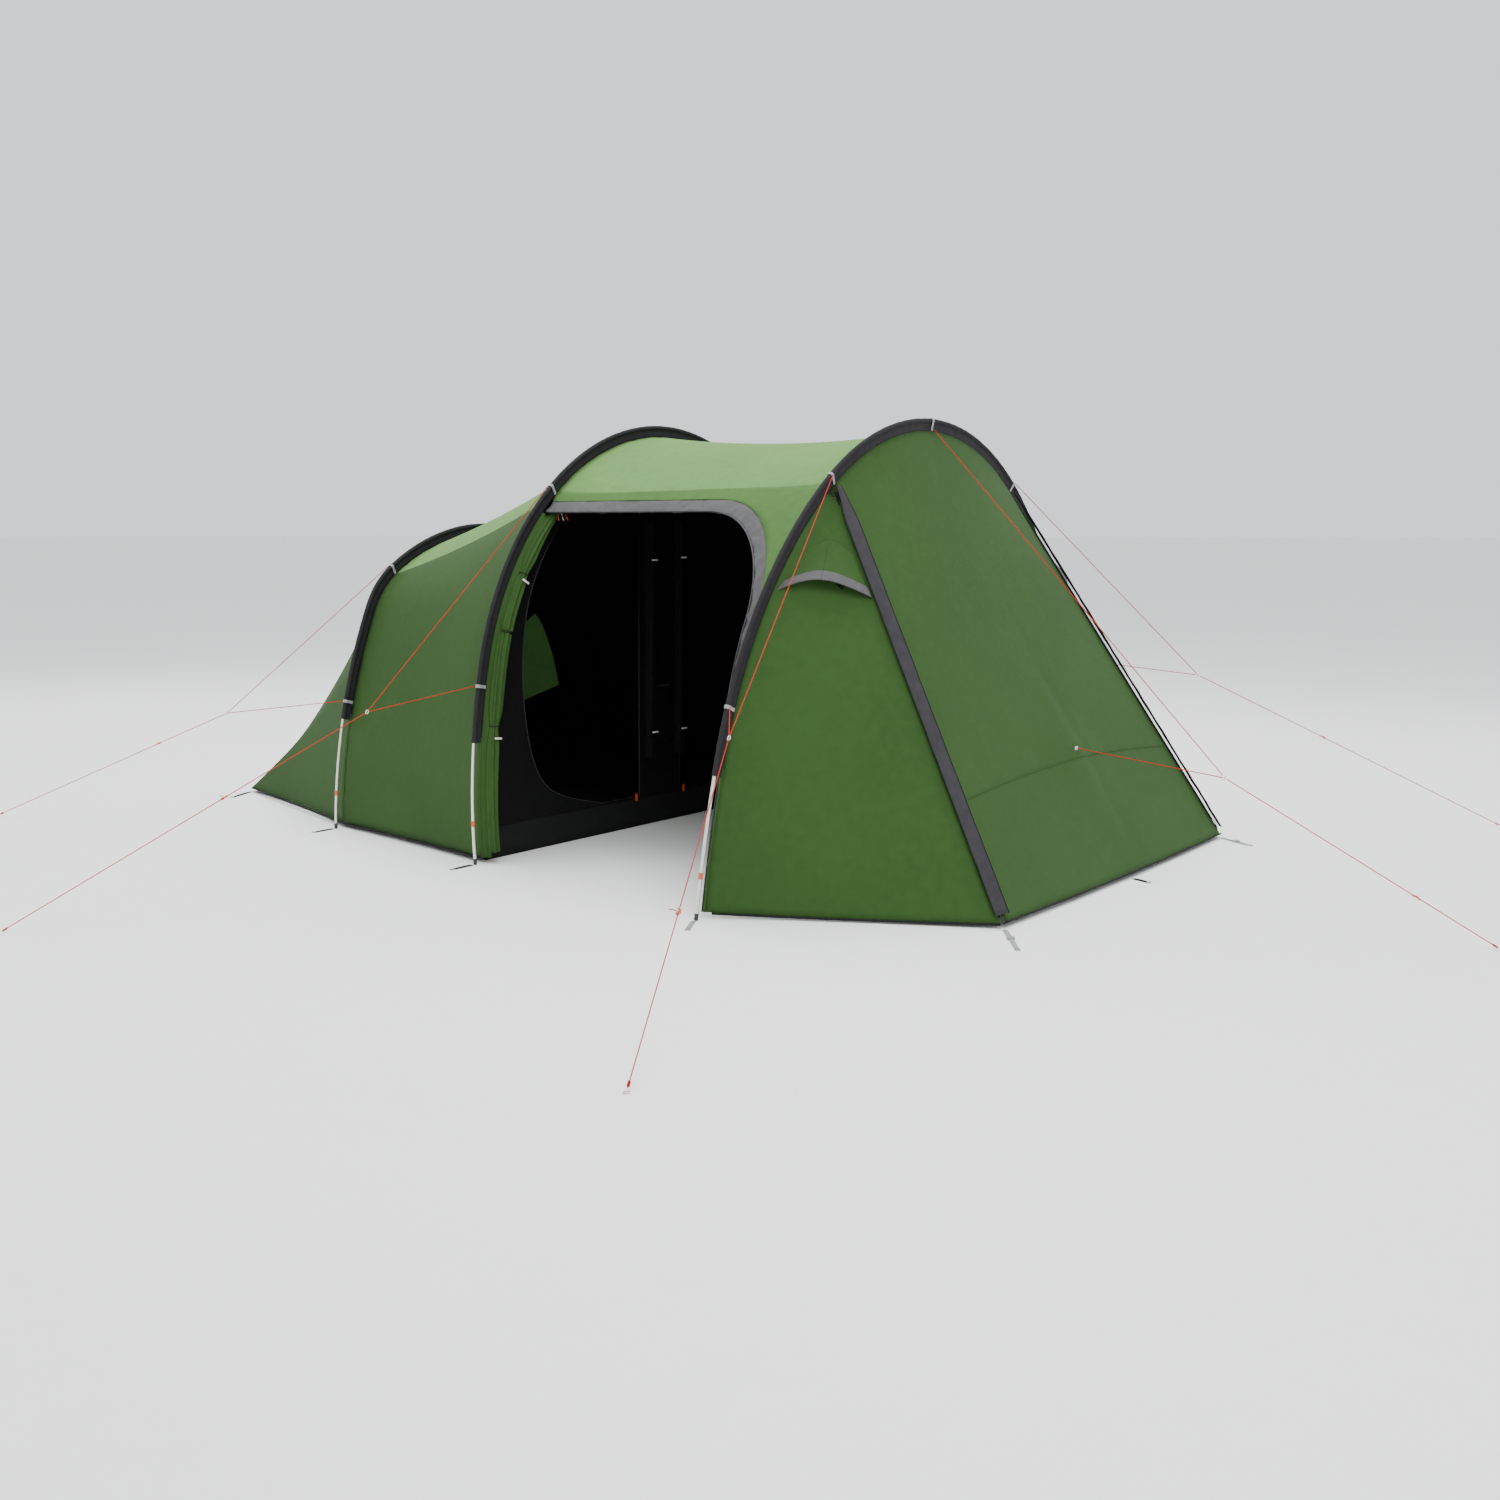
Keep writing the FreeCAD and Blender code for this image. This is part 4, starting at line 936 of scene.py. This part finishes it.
def vent_hood(side, name):
    """The hood over the vent: cloth raised by the strut, with a wide grey band along its arched edge.

    Each half is built in place and baked there.
    """
    door, hood = name + "_porch_door", name + "_vent_hood"
    for half, label in enumerate(("inner", "outer")):
        sewn, free = (0.06, 0.38) if half == 0 else (0.94, 0.62)
        ends = [tuple(flip(hood_place(t, 0.9), side)) for t in (sewn, free)]
        steps = [(half + k / 30) / 2 for k in range(31)]
        rows = [[flip(hood_place(t, i / 16 * 0.86), side) for t in steps] for i in range(17)]
        piece = grid(f"{hood}_{label}_cloth", rows, "fly_fabric", None, thickness=0.0022)
        blended(piece, "fly_fabric", door, hood, *ends, [hood])
        band_rows = []
        for i in range(9):
            v = 0.80 + 0.24 * i / 8
            row = []
            for t in steps:
                wrinkle = 0.0018 * ripple(t * 0.42 - 0.02 * v, v, 85, 0.014, 0.6)
                row.append(flip(hood_place(t, v) + door_out * (0.0030 + wrinkle), side))
            band_rows.append(row)
        binding = grid(f"{name}_vent_{label}_binding", band_rows, "trim_fabric", None, thickness=0.003)
        blended(binding, "trim_fabric", door, hood, *ends)


def vent_shade_screen(side, name):
    """The vent's mesh over its opening, on the door behind the hood, painted near-black as the shade under
    the hood.
    """
    opening = []
    for i in range(9):
        row = []
        for k in range(25):
            u = k / 24
            height = 1.180 - (0.020 + 0.068 * math.sin(math.pi * u)) * i / 8
            row.append(flip(door_point(0.16 + 0.66 * u, height) - door_out * 0.0005, side))
        opening.append(row)
    screen = grid(name + "_vent_mesh", opening, "vent_mesh", None, thickness=0.0008)
    place(screen, name + "_porch_door", "mesh")


porch_front()
for side, name in ((1, "right"), (-1, "left")):
    porch_door(side, name)
    zip_tapes(side, name)
    storm_flap(side, name)
    vent_hood(side, name)
    vent_shade_screen(side, name)


# ---------------------------------------------------------------- gathered side door
def tied(share, *places):
    """How tightly a roll is drawn in at a share of its length, from the places of its ties."""
    return sum(math.exp(-((share - place) / 0.03) ** 2) for place in places)


def door_bundle():
    """The side door's cloth, gathered in pleats along the middle hoop and tied at two toggles."""
    inset, shift = 0.082, -0.034
    top, bottom = middle.angle_at(1.400, inset), middle.angle_at(0.045, inset)
    points = [middle.at(-a, inset, shift) for a in middle.spots(top, bottom, 90, inset)]

    def pleats(share, angle):
        fold = 0.20 * math.sin(7 * angle + 2.5 * math.sin(5 * share))
        fold += 0.14 * ripple(angle, share * 1.5, 91, 0.5, 0.25)
        return (0.92 - 0.32 * tied(share, 0.22, 0.66)) * (1 + fold) * (0.75 + 0.35 * min(1, share * 5))

    nodes = ["side_door_bundle"]
    piece = tube("side_door_cloth", points, 0.024, "fly_fabric", ROOT, nodes, sides=48, shape=pleats)
    for index, share in enumerate((0.22, 0.66)):
        centre = points[round(share * 90)]
        ahead = (points[round(share * 90) + 1] - centre).normalized()
        ring = []
        side = ahead.cross(Vector((0, 1, 0))).normalized()
        for k in range(25):
            turn = 2 * math.pi * k / 24
            ring.append(centre + (side * math.cos(turn) + Vector((0, 1, 0)) * math.sin(turn)) * 0.0185)
        tube(f"side_door_tie_{index}", ring, 0.0018, "hem_tape", ROOT, sides=6)


def door_edge():
    """The edge of the gathered door that stays sewn to the middle hoop."""
    start, end = middle.angle_at(1.400, FLY), middle.angle_at(HEM, FLY)
    rows = []
    for j, angle in enumerate(middle.spots(start, end, 70, FLY)):
        row = []
        for i in range(9):
            t = i / 8
            fold = 0.004 * t * (1 - t) * 4 * ripple(j * 0.022, t, 95, 0.09, 0.8)
            row.append(middle.at(-angle, FLY + 0.022 * t + fold, -0.0015 - 0.030 * t))
        rows.append(row)
    piece = grid("side_door_edge", rows, "fly_fabric", ROOT)


door_bundle()
door_edge()


# ---------------------------------------------------------------- hem tapes and straps
def split_line(points, step):
    """A line's points with more put between them, without the last one."""
    fine = []
    for a, b in zip(points, points[1:]):
        count = max(2, int((b - a).length / step))
        fine += [a.lerp(b, i / count) for i in range(count)]
    return fine


def hem_run(name, points):
    """A tape along a hem."""
    fine = split_line(points, 0.04) + [points[-1]]
    fine = [p + Vector((0, 0, 0.0012 * ripple(i * 0.04, 0, 101, 0.09, 1))) for i, p in enumerate(fine)]
    tube(name, fine, 0.0034, "hem_tape", ROOT, ["hem_piping"], sides=8)


def low_point(point, side=1):
    return Vector((point.x * side, point.y, HEM - 0.002))


def hem_point(hoop, side):
    return low_point(hoop.at(side * hoop.angle_at(HEM, FLY), FLY))


hem_run("right_hem", [hem_point(hoop, 1) for hoop in (front, middle, rear)] + [low_point(tail_corner)])
hem_run("left_hem", [hem_point(hoop, -1) for hoop in (middle, rear)] + [low_point(tail_corner, -1)])
hem_run("tail_hem", [low_point(tail_corner, -1), low_point(tail_corner, 1)])
shares = (-1, -0.5, 0, 0.5, 1)
bow = [Vector((PORCH_HALF * s, PORCH_Y - PORCH_BOW * (1 - s * s), HEM - 0.002)) for s in shares]
hem_run("porch_hem", bow)


def pegging_points():
    pairs = []
    for side in (-1, 1):
        for hoop, reach, lead in ((front, 0.118, -0.062), (middle, 0.110, 0), (rear, 0.110, 0)):
            foot = hoop.at(side * hoop.angle_at(0.023, POLE), POLE)
            start = Vector((foot.x + side * 0.018, foot.y, 0))
            pairs.append((start, start + Vector((side * reach, lead, 0))))
        pairs.append((Vector((side * 0.475, TAIL_Y - 0.008, 0)), Vector((side * 0.645, TAIL_Y - 0.080, 0))))
    eyelet_y = -TAIL_Y + 0.007
    pairs.append((Vector((-1.062, PORCH_Y - 0.014, 0)), Vector((-1.290, eyelet_y, 0))))
    pairs.append((Vector((1.030, PORCH_Y - 0.014, 0)), Vector((0.925, eyelet_y, 0))))
    pairs.append((Vector((-0.012, PORCH_Y - 0.034, 0)), Vector((-0.050, PORCH_Y - 0.112, 0))))
    return pairs


for index, (start, eyelet) in enumerate(pegging_points()):
    run = (eyelet - start).normalized()
    across = Vector((-run.y, run.x, 0))
    centre = []
    for i in range(9):
        p = start.lerp(eyelet - run * 0.011, i / 8)
        centre.append(p + Vector((0, 0, 0.0002 + 0.0012 * math.sin(math.pi * i / 8))))
    up = Vector((0, 0, 1))
    slot_name = "hem_tape" if index in (1, 2, 3, 5, 6, 7, 10) else "webbing"
    ribbon(f"peg_strap_{index}", centre, [across] * 9, [up] * 9, 0.016, slot_name, ROOT, ["peg_straps"])


def hoop_seams():
    """The seam that joins the cloths at each hoop, below its sleeve."""
    for hoop_name, hoop in HOOPS.items():
        start, end = hoop.angle_at(SLEEVE_END + 0.02, FLY), hoop.angle_at(HEM, FLY)
        for side, side_name in ((-1, "left"), (1, "right")):
            points = [hoop.at(side * a, FLY, 0.0) for a in hoop.spots(start, end, 24, FLY)]
            tube(f"{hoop_name}_{side_name}_seam", points, 0.0034, "fly_fabric", ROOT, sides=8)


def door_pulls():
    """Three zip pulls of cord that hang at the top of the gathered door."""
    start = middle.at(-middle.angle_at(1.395, 0.082), 0.082, -0.052)
    for index in range(3):
        top = start + Vector((0.012 * index, -0.010 * index, 0))
        sway = Vector((0.006 * (index - 1), -0.010, 0))
        points = [top + sway * (i / 8) ** 1.5 + Vector((0, 0, -0.028 * i / 8)) for i in range(9)]
        slot_name = "tab_webbing" if index == 1 else "runner_plastic"
        tube(f"door_pull_{index}", points, 0.0022, slot_name, ROOT, sides=8, shape=lambda s, a: 0.6 + 0.5 * s)


hoop_seams()
door_pulls()

# ---------------------------------------------------------------- inner tent
INNER, TUB = 0.1105, 0.130
WINDOW_CELLS = (78, 96, 6, 15)
WALL_Y = MIDDLE_Y + 0.026
REAR_INNER = INNER + 0.020
tail_inside = tail_corner - Vector((0.060, 0.190, 0))


def inner_door_outline(side, steps=14):
    """An inner doorway: a straight edge by the middle strip, then a smooth curve through its corners."""
    corners = [(0.42, TUB + 0.008), (0.79, 0.270), (0.915, 0.640)]
    corners += [(0.870, 1.060), (0.640, 1.385), (0.400, 1.440)]
    points = [Vector((side * 0.15, 0, 1.440)), Vector((side * 0.15, 0, TUB + 0.008))]
    curve = [Vector((side * x, 0, z)) for x, z in corners]
    padded = [curve[0]] + curve + [curve[-1]]
    for i in range(len(curve) - 1):
        p0, p1, p2, p3 = padded[i : i + 4]
        bend, twist = 2 * p0 - 5 * p1 + 4 * p2 - p3, 3 * p1 - p0 - 3 * p2 + p3
        for k in range(steps):
            t = k / steps
            points.append(0.5 * (2 * p1 + (p2 - p0) * t + bend * t * t + twist * t**3))
    points.append(curve[-1])
    return points


def inner_wall():
    """The inner tent's front wall with its two doorways, and a zip round each."""
    shift = WALL_Y - MIDDLE_Y
    end = middle.angle_at(TUB, INNER)
    rim = [middle.at(a, INNER, shift) for a in middle.spots(-end, end, 90, INNER)]
    work = bmesh.new()
    loops = [rim] + [[p + Vector((0, WALL_Y, 0)) for p in inner_door_outline(side)] for side in (-1, 1)]
    for loop in loops:
        verts = [work.verts.new(p) for p in loop]
        for a, b in zip(verts, verts[1:] + verts[:1]):
            work.edges.new((a, b))
    bmesh.ops.triangle_fill(work, use_beauty=True, use_dissolve=False, edges=work.edges[:])
    mesh_verts = [v.co.copy() for v in work.verts]
    work.verts.index_update()
    faces = [tuple(v.index for v in f.verts) for f in work.faces]
    work.free()
    nodes = ["inner_front_wall"]
    piece = build("inner_wall_cloth", mesh_verts, faces, "inner_fabric", ROOT, nodes, 0.0015, smooth=False)
    for side, name in ((-1, "left"), (1, "right")):
        edge = [p + Vector((0, WALL_Y - 0.002, 0)) for p in inner_door_outline(side)]
        tube(name + "_inner_door_zip", edge + edge[:1], 0.0028, "zip_coil", ROOT, sides=6)


def inner_canopy():
    ends = []
    for hoop, inset in ((middle, INNER), (rear, REAR_INNER)):
        end = hoop.angle_at(TUB, inset)
        ends.append(hoop.spots(-end, end, 90, inset))
    rows = []
    for j, (a, b) in enumerate(zip(*ends)):
        p, q = middle.at(a, INNER, WALL_Y - MIDDLE_Y + 0.003), rear.at(b, REAR_INNER)
        row = []
        for i in range(25):
            v = i / 24
            depth = 0.035 * 4 * v * (1 - v) + 0.006 * ripple(j * 0.04, v, 111, 0.12, 0.5)
            row.append(p.lerp(q, v) + middle.inward(a) * depth)
        rows.append(row)
    piece = grid("inner_canopy_cloth", rows, "inner_fabric", ROOT, ["inner_canopy"])


def inner_tail():
    """The rear wall of the inner tent with its mesh window, framed by a bound edge."""
    nodes = ["inner_rear_wall", "inner_window_mesh"]
    slots = ["inner_fabric", "mesh"]
    name, flat = "inner_rear_cloth", (2.4, 1.45)
    piece = tail_cloth(name, REAR_INNER, tail_inside, TUB, slots, nodes, 0.020, 121)
    first, last, top, foot = WINDOW_CELLS
    for index, face in enumerate(piece.data.polygons):
        row, column = divmod(index, 40)
        face.material_index = int(first <= row < last and top <= column < foot)
    spots = [(j, top) for j in range(first, last)] + [(last, i) for i in range(top, foot)]
    spots += [(j, foot) for j in range(last, first, -1)] + [(first, i) for i in range(foot, top - 1, -1)]
    edge = [piece.data.vertices[j * 41 + i].co + Vector((0, -0.002, 0)) for j, i in spots]
    tube("inner_window_binding", edge, 0.0035, "hem_tape", ROOT, sides=6)


def groundsheet():
    """A tub floor with low walls that wave a little towards their top."""
    front_half = middle.at(middle.angle_at(TUB, INNER), INNER).x
    rear_half = rear.at(rear.angle_at(TUB, REAR_INNER), REAR_INNER).x
    rows_at = [(front_half, WALL_Y), (rear_half, REAR_Y), (tail_inside.x, tail_inside.y)]
    outline = [Vector((half, y, 0)) for half, y in rows_at]
    outline += [Vector((-p.x, p.y, 0)) for p in reversed(outline)]
    fine = split_line(outline + outline[:1], 0.05)
    centre = Vector((0, 1.0, 0))
    rows = []
    for level in (0.0015, 0.045, 0.09, TUB - 0.002):
        row = []
        for j, p in enumerate(fine):
            inwards = (centre - p).normalized()
            wave = 0.006 * ripple(j * 0.05, level, 131, 0.12, 0.4) * level / TUB
            row.append(p + inwards * (0.002 + abs(wave)) + Vector((0, 0, level)))
        rows.append(row)
    verts = [p for row in rows for p in row]
    faces = grid_faces(len(rows), len(fine), True)
    previous = list(range(len(fine)))
    for share in (0.75, 0.5, 0.25):
        current = list(range(len(verts), len(verts) + len(fine)))
        for p in fine:
            q = centre.lerp(p, share)
            verts.append(Vector((q.x, q.y, 0.0015 + 0.0012 * (1 + ripple(q.x, q.y, 133, 0.15, 0.25)))))
        for j in range(len(fine)):
            k = (j + 1) % len(fine)
            faces.append((previous[k], previous[j], current[j], current[k]))
        previous = current
    verts.append(centre + Vector((0, 0, 0.0025)))
    for j in range(len(fine)):
        faces.append((previous[(j + 1) % len(fine)], previous[j], len(verts) - 1))
    slot, nodes = "groundsheet_fabric", ["groundsheet"]
    piece = build("groundsheet_cloth", verts, faces, slot, ROOT, nodes, 0.0012, offset=1.0)


def inner_rolls():
    """Each inner door, rolled up beside the middle strip."""
    for index, side in enumerate((-1, 1)):
        points = [Vector((side * 0.108, WALL_Y - 0.029, 0.300 + 1.08 * i / 60)) for i in range(61)]

        def roll(share, angle):
            fold = 0.13 * math.sin(5 * angle + 4 * share)
            fold += 0.12 * ripple(angle, share, 141 + index, 0.6, 0.15)
            return (0.92 - 0.3 * tied(share, 0.11, 0.83)) * (1 + fold)

        name, nodes = f"inner_door_roll_{index}", ["inner_door_rolls"]
        piece = tube(name, points, 0.026, "inner_fabric", ROOT, nodes, sides=32, shape=roll)


def organiser():
    """The pocket on the middle strip, with its bound top edge."""
    rows = []
    for i in range(17):
        v = i / 16
        row = []
        for k in range(13):
            t = k / 12
            across = math.sin(math.pi * t) ** 0.5
            bulge = 0.011 * across * math.sin(math.pi * min(1.0, 0.12 + v * 0.88)) ** 0.4
            row.append(Vector((-0.070 + 0.14 * t, WALL_Y - 0.0025 - bulge, 0.360 + 0.26 * v)))
        rows.append(row)
    piece = grid("organiser_cloth", rows, "inner_fabric", ROOT, ["organiser_pocket"], thickness=0.001)
    tube("organiser_edge", rows[-1], 0.002, "trim_fabric", ROOT, sides=6)


inner_wall()
inner_canopy()
inner_tail()
groundsheet()
inner_rolls()
organiser()


# ---------------------------------------------------------------- carried-over parts
SLOTS = {entry["node"]: entry["material_slot"] for entry in frame["record"]["subparts"]}
for name, part in frame["nodes"].items():
    part.data.materials.clear()
    part.data.materials.append(M[SLOTS[name]])


# ---------------------------------------------------------------- floor
FLOOR_COLOUR, FLOOR_SIZE = (0.93, 0.93, 0.925), 300.0


def floor():
    size = FLOOR_SIZE
    mesh = bpy.data.meshes.new("floor")
    corners = [(-size, -size, -0.001), (size, -size, -0.001), (size, size, -0.001), (-size, size, -0.001)]
    mesh.from_pydata(corners, [], [(0, 1, 2, 3)])
    ground = bpy.data.objects.new("floor", mesh)
    bpy.context.scene.collection.objects.link(ground)
    material, tree, shader = start_material("floor", FLOOR_COLOUR, 0.9)
    patchy_colour(tree, shader, FLOOR_COLOUR, 0.01, (0.7, 9.0))
    mesh.materials.append(material)


floor()
bpy.context.view_layer.update()
